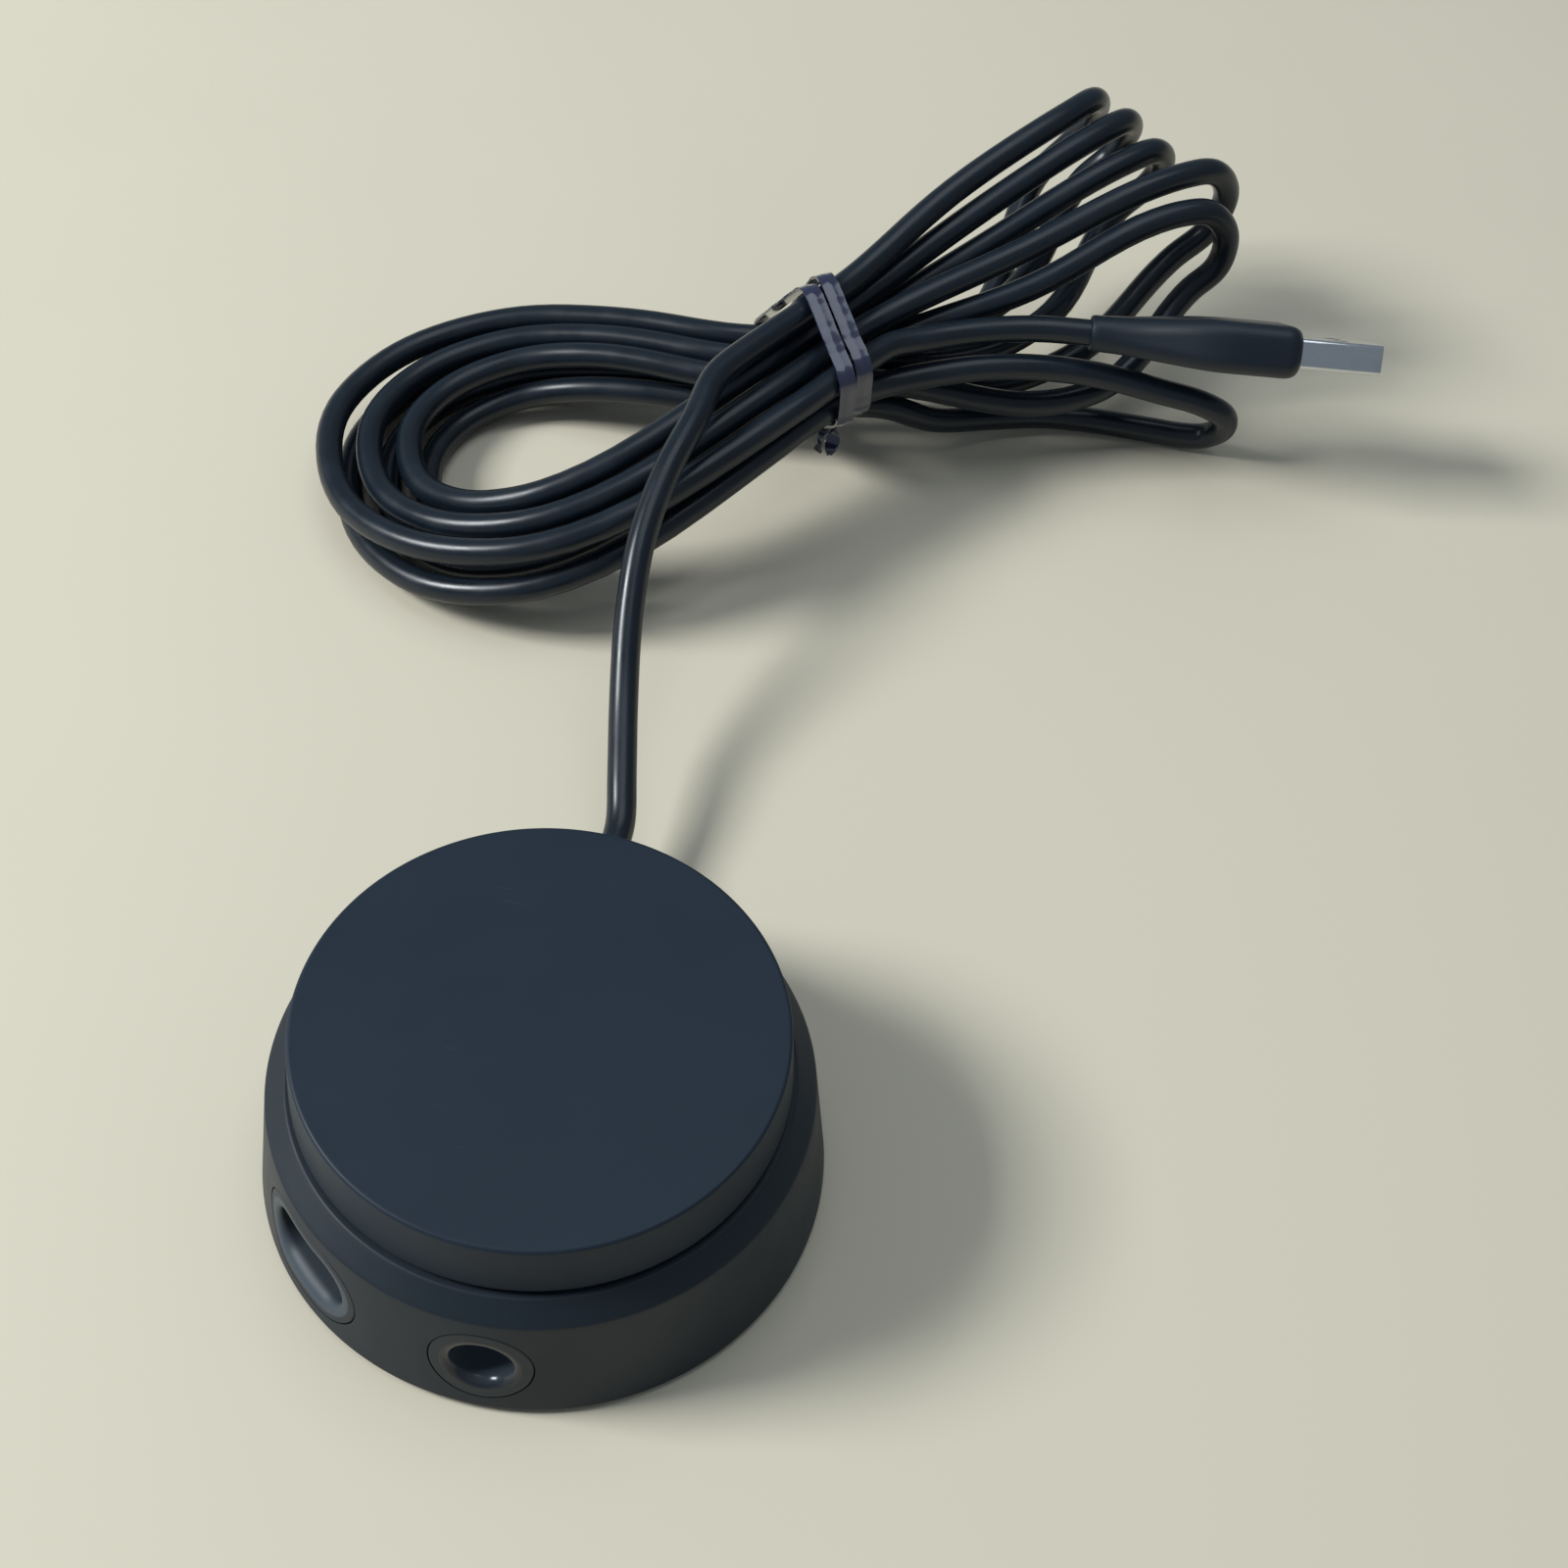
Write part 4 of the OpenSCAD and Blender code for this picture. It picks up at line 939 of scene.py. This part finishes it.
# Tie: two bands of film pulled round the crossing strands, and their twisted ends
TIE_TURN, TIE_AT, TIE_CROSS = math.radians(33.8), np.array((13, 130.2, 17.0)), math.radians(22.3)
TIE_W, TIE_T, TIE_STEP, FILM_T = 2.9, 0.6, 3.3, 0.42
TIE_FRONT, TIE_BACK = 4.3, -6.3
END_LEN, END_W, END_T, END_SINK = 5.0, 2.0, 0.45, 0.5
END_SPOT, END_TWIST, END_SPLAY = 0.8, 200, 14
END_LEAN, END_TIP = math.radians(32), math.radians(60)
TIE_INNER = CORD_R / math.cos(TIE_CROSS) + TIE_W / 2 * math.tan(TIE_CROSS) + 0.25
TIE_ALONG = np.array((math.cos(TIE_TURN), math.sin(TIE_TURN), 0))
TIE_ACROSS = np.array((TIE_ALONG[1], -TIE_ALONG[0], 0))


def tie_spots(s):
    """Places of the outermost strands across the tie, s along the strands from its middle."""
    step, lean = PITCH / math.cos(TIE_CROSS), s * math.tan(TIE_CROSS)
    f, b, z = TIE_FRONT - lean, TIE_BACK + lean, CROSS_HALF
    return [(f - step, z + 2 * PITCH), (f + step, z + PITCH), (f + step, z), (b + step, -z - PITCH),
            (b - step, -z - PITCH), (b - step, -z)]


def pulled_round(spots, radius, count):
    """Evenly spaced points on a band pulled tight round discs at the given spots."""
    angles = np.linspace(0, 2 * math.pi, 72, endpoint=False)
    cloud = sorted({(x + radius * math.cos(a), z + radius * math.sin(a)) for x, z in spots for a in angles})
    halves = []
    for row in (cloud, cloud[::-1]):
        chain = []
        for p in row:
            while len(chain) > 1 and ((chain[-1][0] - chain[-2][0]) * (p[1] - chain[-2][1])
                                      - (chain[-1][1] - chain[-2][1]) * (p[0] - chain[-2][0])) <= 0:
                chain.pop()
            chain.append(p)
        halves += chain[:-1]
    outline = np.array(halves + halves[:1])
    way = np.concatenate(([0], np.cumsum(np.linalg.norm(np.diff(outline, axis=0), axis=1))))
    spaced = np.linspace(0, way[-1], count, endpoint=False)
    return np.column_stack([np.interp(spaced, way, outline[:, k]) for k in (0, 1)])


def film_section(wide, thick):
    """Strip of film across, folded over a wire that shows as a low rib."""
    half, rib = wide / 2, 0.14 * thick
    foot, top = 0.4 * half, 0.16 * half
    upper = [(-half, 0.0), (-foot, 0.0), (-top, rib), (top, rib), (foot, 0.0), (half, 0.0)]
    return upper + [(half, -thick), (-half, -thick)]


def make_tie_bands():
    """Two bands side by side, a little crumpled and swaying along the strands."""
    rng = np.random.default_rng(7)
    count = 180
    bands = []
    for s in (-0.5 * TIE_STEP, 0.5 * TIE_STEP):
        inner = pulled_round(tie_spots(s), TIE_INNER, count)
        outer = pulled_round(tie_spots(s), TIE_INNER + FILM_T, count)
        rough = np.tile(rng.normal(0, 0.12, count), 3)
        crumple = np.convolve(rough, np.ones(7) / 7, "same")[count:2 * count]
        sway = np.convolve(rough[::-1], np.ones(25) / 25, "same")[count:2 * count] * 3
        rings = []
        for k in range(count):
            out = unit(outer[k] - inner[k])
            ring = []
            for across, height in film_section(TIE_W - 0.3, FILM_T):
                a, z = outer[k] + out * (height + crumple[k] * (height >= 0))
                ring.append(TIE_AT + TIE_ACROSS * a + UP * z + TIE_ALONG * (s + across + sway[k]))
            rings.append(ring)
        bands.append(loft("tie_band", rings, closed=True))
    mesh = smooth(joined_mesh("tie_band", bands))
    return piece_from("tie_band", mesh, "tie", "base", "tie_film", "cord_tie")


def make_tie_twist():
    """Two ends of the strip, twisted, where they leave the lower front side of the first band."""
    spots = [np.array(p) for p in tie_spots(-TIE_STEP / 2)]
    run = spots[2] - spots[3]
    outward = np.array((run[1], -run[0])) / np.linalg.norm(run)
    at = spots[3] + END_SPOT * run + outward * (TIE_INNER + TIE_T - END_SINK)
    plane = Matrix((TIE_ACROSS, UP, -TIE_ALONG)).transposed()
    lean = Matrix.Rotation(END_LEAN, 3, "Z") @ Matrix.Rotation(END_TIP, 3, "X")
    foot = Vector(TIE_AT) + plane @ Vector((at[0], at[1], TIE_STEP / 2))
    steps, strips = 30, []
    for side in (-1, 1):
        turn = plane @ lean @ Matrix.Rotation(math.radians(side * END_SPLAY), 3, "Y")
        beside = Vector((side * (END_W / 2 + 0.1), 0, 0))
        rings = []
        for k in range(steps + 1):
            t = k / steps
            twist = Matrix.Rotation(math.radians(side * END_TWIST * t), 3, "Z")
            wide = END_W * (1 - 0.25 * max(0, t - 0.85) / 0.15)
            rings.append([foot + turn @ (twist @ Vector((x, y + 0.2, END_LEN * t)) + beside)
                          for x, y in film_section(wide, END_T)])
        strips.append(loft("tie_twist", rings))
    mesh = smooth(joined_mesh("tie_twist", strips))
    return piece_from("tie_twist", mesh, "tie", "base", "tie_film", "tie_ends")


make_tie_bands()
make_tie_twist()


# Screws of the bottom cover
SCREW_HEAD_Z = 1.1
SCREW_SIZES = {"Head_Radius": 2.1, "Head_Height": 1.0, "Shank_Radius": 1.2, "Shank_Length": 5.5,
               "Cross_Width": 0.67}


def screw_tree():
    """Pan head screws on the given points, with the heads down and a cross cut into them."""
    tree = Tree("cover_screw", **{label: "Float" for label in SCREW_SIZES})
    cylinders = []
    measures = (("Head Radius", "Head Height", 48), ("Shank Radius", "Shank Length", 32))
    for radius, length, sides in measures:
        rod = tree.add("GeometryNodeMeshCylinder")
        fill(rod, Vertices=sides)
        tree.join(tree.given[radius], rod, "Radius")
        tree.join(tree.given[length], rod, "Depth")
        cylinders.append(rod.outputs["Mesh"])
    head, shank = cylinders
    both = tree.math("ADD", tree.given["Shank Length"], tree.given["Head Height"])
    lifted = tree.moved(shank, tree.math("MULTIPLY", both, 0.5))
    cuts = tree.add("GeometryNodeJoinGeometry")
    for axis in ("X", "Y"):
        bar = tree.add("GeometryNodeMeshCube")
        size = tree.add("ShaderNodeCombineXYZ")
        tree.join(tree.math("MULTIPLY", tree.given["Head Radius"], 1.2), size, axis)
        tree.join(tree.given["Cross Width"], size, "Y" if axis == "X" else "X")
        tree.join(tree.given["Head Height"], size, "Z")
        tree.join(size.outputs["Vector"], bar, "Size")
        low = tree.moved(bar.outputs["Mesh"], tree.math("MULTIPLY", tree.given["Head Height"], -0.5))
        tree.join(low, cuts, "Geometry")
    whole = tree.join(head, tree.add("GeometryNodeJoinGeometry"), "Geometry")
    tree.join(lifted, whole, "Geometry")
    crossed = tree.add("GeometryNodeMeshBoolean", operation="DIFFERENCE", solver="EXACT")
    tree.join(whole.outputs["Geometry"], crossed, "Mesh 1")
    tree.join(cuts.outputs["Geometry"], crossed, "Mesh 2")
    fill(crossed, Self_Intersection=True)
    placed = tree.join(tree.given["Geometry"], tree.add("GeometryNodeInstanceOnPoints"), "Points")
    tree.join(crossed.outputs["Mesh"], placed, "Instance")
    return tree.end(placed.outputs["Instances"])


def make_cover_screws():
    points = bpy.data.meshes.new("screw_spots")
    points.from_pydata([(x * MM, y * MM, SCREW_HEAD_Z * MM) for x, y in screw_spots()], [], [])
    sizes = {label: size * MM for label, size in SCREW_SIZES.items()}
    mesh = run_tree("cover_screw_set", screw_tree(), points, "steel", **sizes)
    return piece_from("cover_screw_set", smooth(mesh), "steel", "base", "screw_steel", "cover_screws")


make_cover_screws()

# Solids that keep their own shape get their finish
KEPT = {
    "cover": ["bottom_cover"],
    "rubber": ["foot_ring"],
    "board": ["circuit_board"],
    "steel": ["board_screws", "encoder_bushing", "encoder_washer", "encoder_nut", "push_dome",
              "encoder_shaft"],
    "brass": ["dial_hub", "jack_tabs", "wide_socket_contacts", "plug_contacts"],
    "black": ["encoder_body", "jack_body", "wide_socket_core", "audio_chip"],
    "white": ["switch_plunger", "wire_header", "plug_tongue"],
    "parts": ["board_parts"],
    "wire": ["inner_wires"],
    "moulding": ["cord_gland"],
}
for skin, names in KEPT.items():
    for name in names:
        nodes[name].data.materials.clear()
        nodes[name].data.materials.append(SKINS[skin])


# Floor and light
def make_stage():
    half = 3
    corners = [(-half, -half, 0), (half, -half, 0), (half, half, 0), (-half, half, 0)]
    floor = bpy.data.meshes.new("floor")
    floor.from_pydata(corners, [], [(0, 1, 2, 3)])
    finish = Finish("pale_floor", linear(213, 205, 184), 0.6, specular=0.3)
    finish.gloss(finish.noise(30, 3), 0.52, 0.68)
    floor.materials.append(finish.material)
    linked("floor", floor)


def soft_lamp(name, place, aim, size, power, colour):
    """Rectangular lamp of the given size in metres and power in watts."""
    data = bpy.data.lights.new(name, "AREA")
    data.shape = "RECTANGLE"
    data.size, data.size_y = size
    data.energy = power
    data.color = colour
    lamp = linked(name, data)
    lamp.location = place
    lamp.rotation_euler = (Vector(aim) - Vector(place)).to_track_quat("-Z", "Y").to_euler()


def make_light():
    """A window on the left, a wide soft ceiling and a dim sky."""
    middle = (0.02, 0.06, 0)
    soft_lamp("window_light", (-1.05, -0.12, 0.92), middle, (0.45, 0.4), 20.5, (0.94, 0.975, 1.0))
    soft_lamp("ceiling_light", (0.1, 0.3, 1.5), middle, (1.0, 1.0), 5, (0.86, 0.94, 1.0))
    world = bpy.data.worlds.new("studio")
    scene.world = world
    world.use_nodes = True
    fill(world.node_tree.nodes["Background"], Color=(0.7, 0.81, 0.94, 1), Strength=0.27)


make_stage()
make_light()
scene.view_settings.view_transform = "Standard"
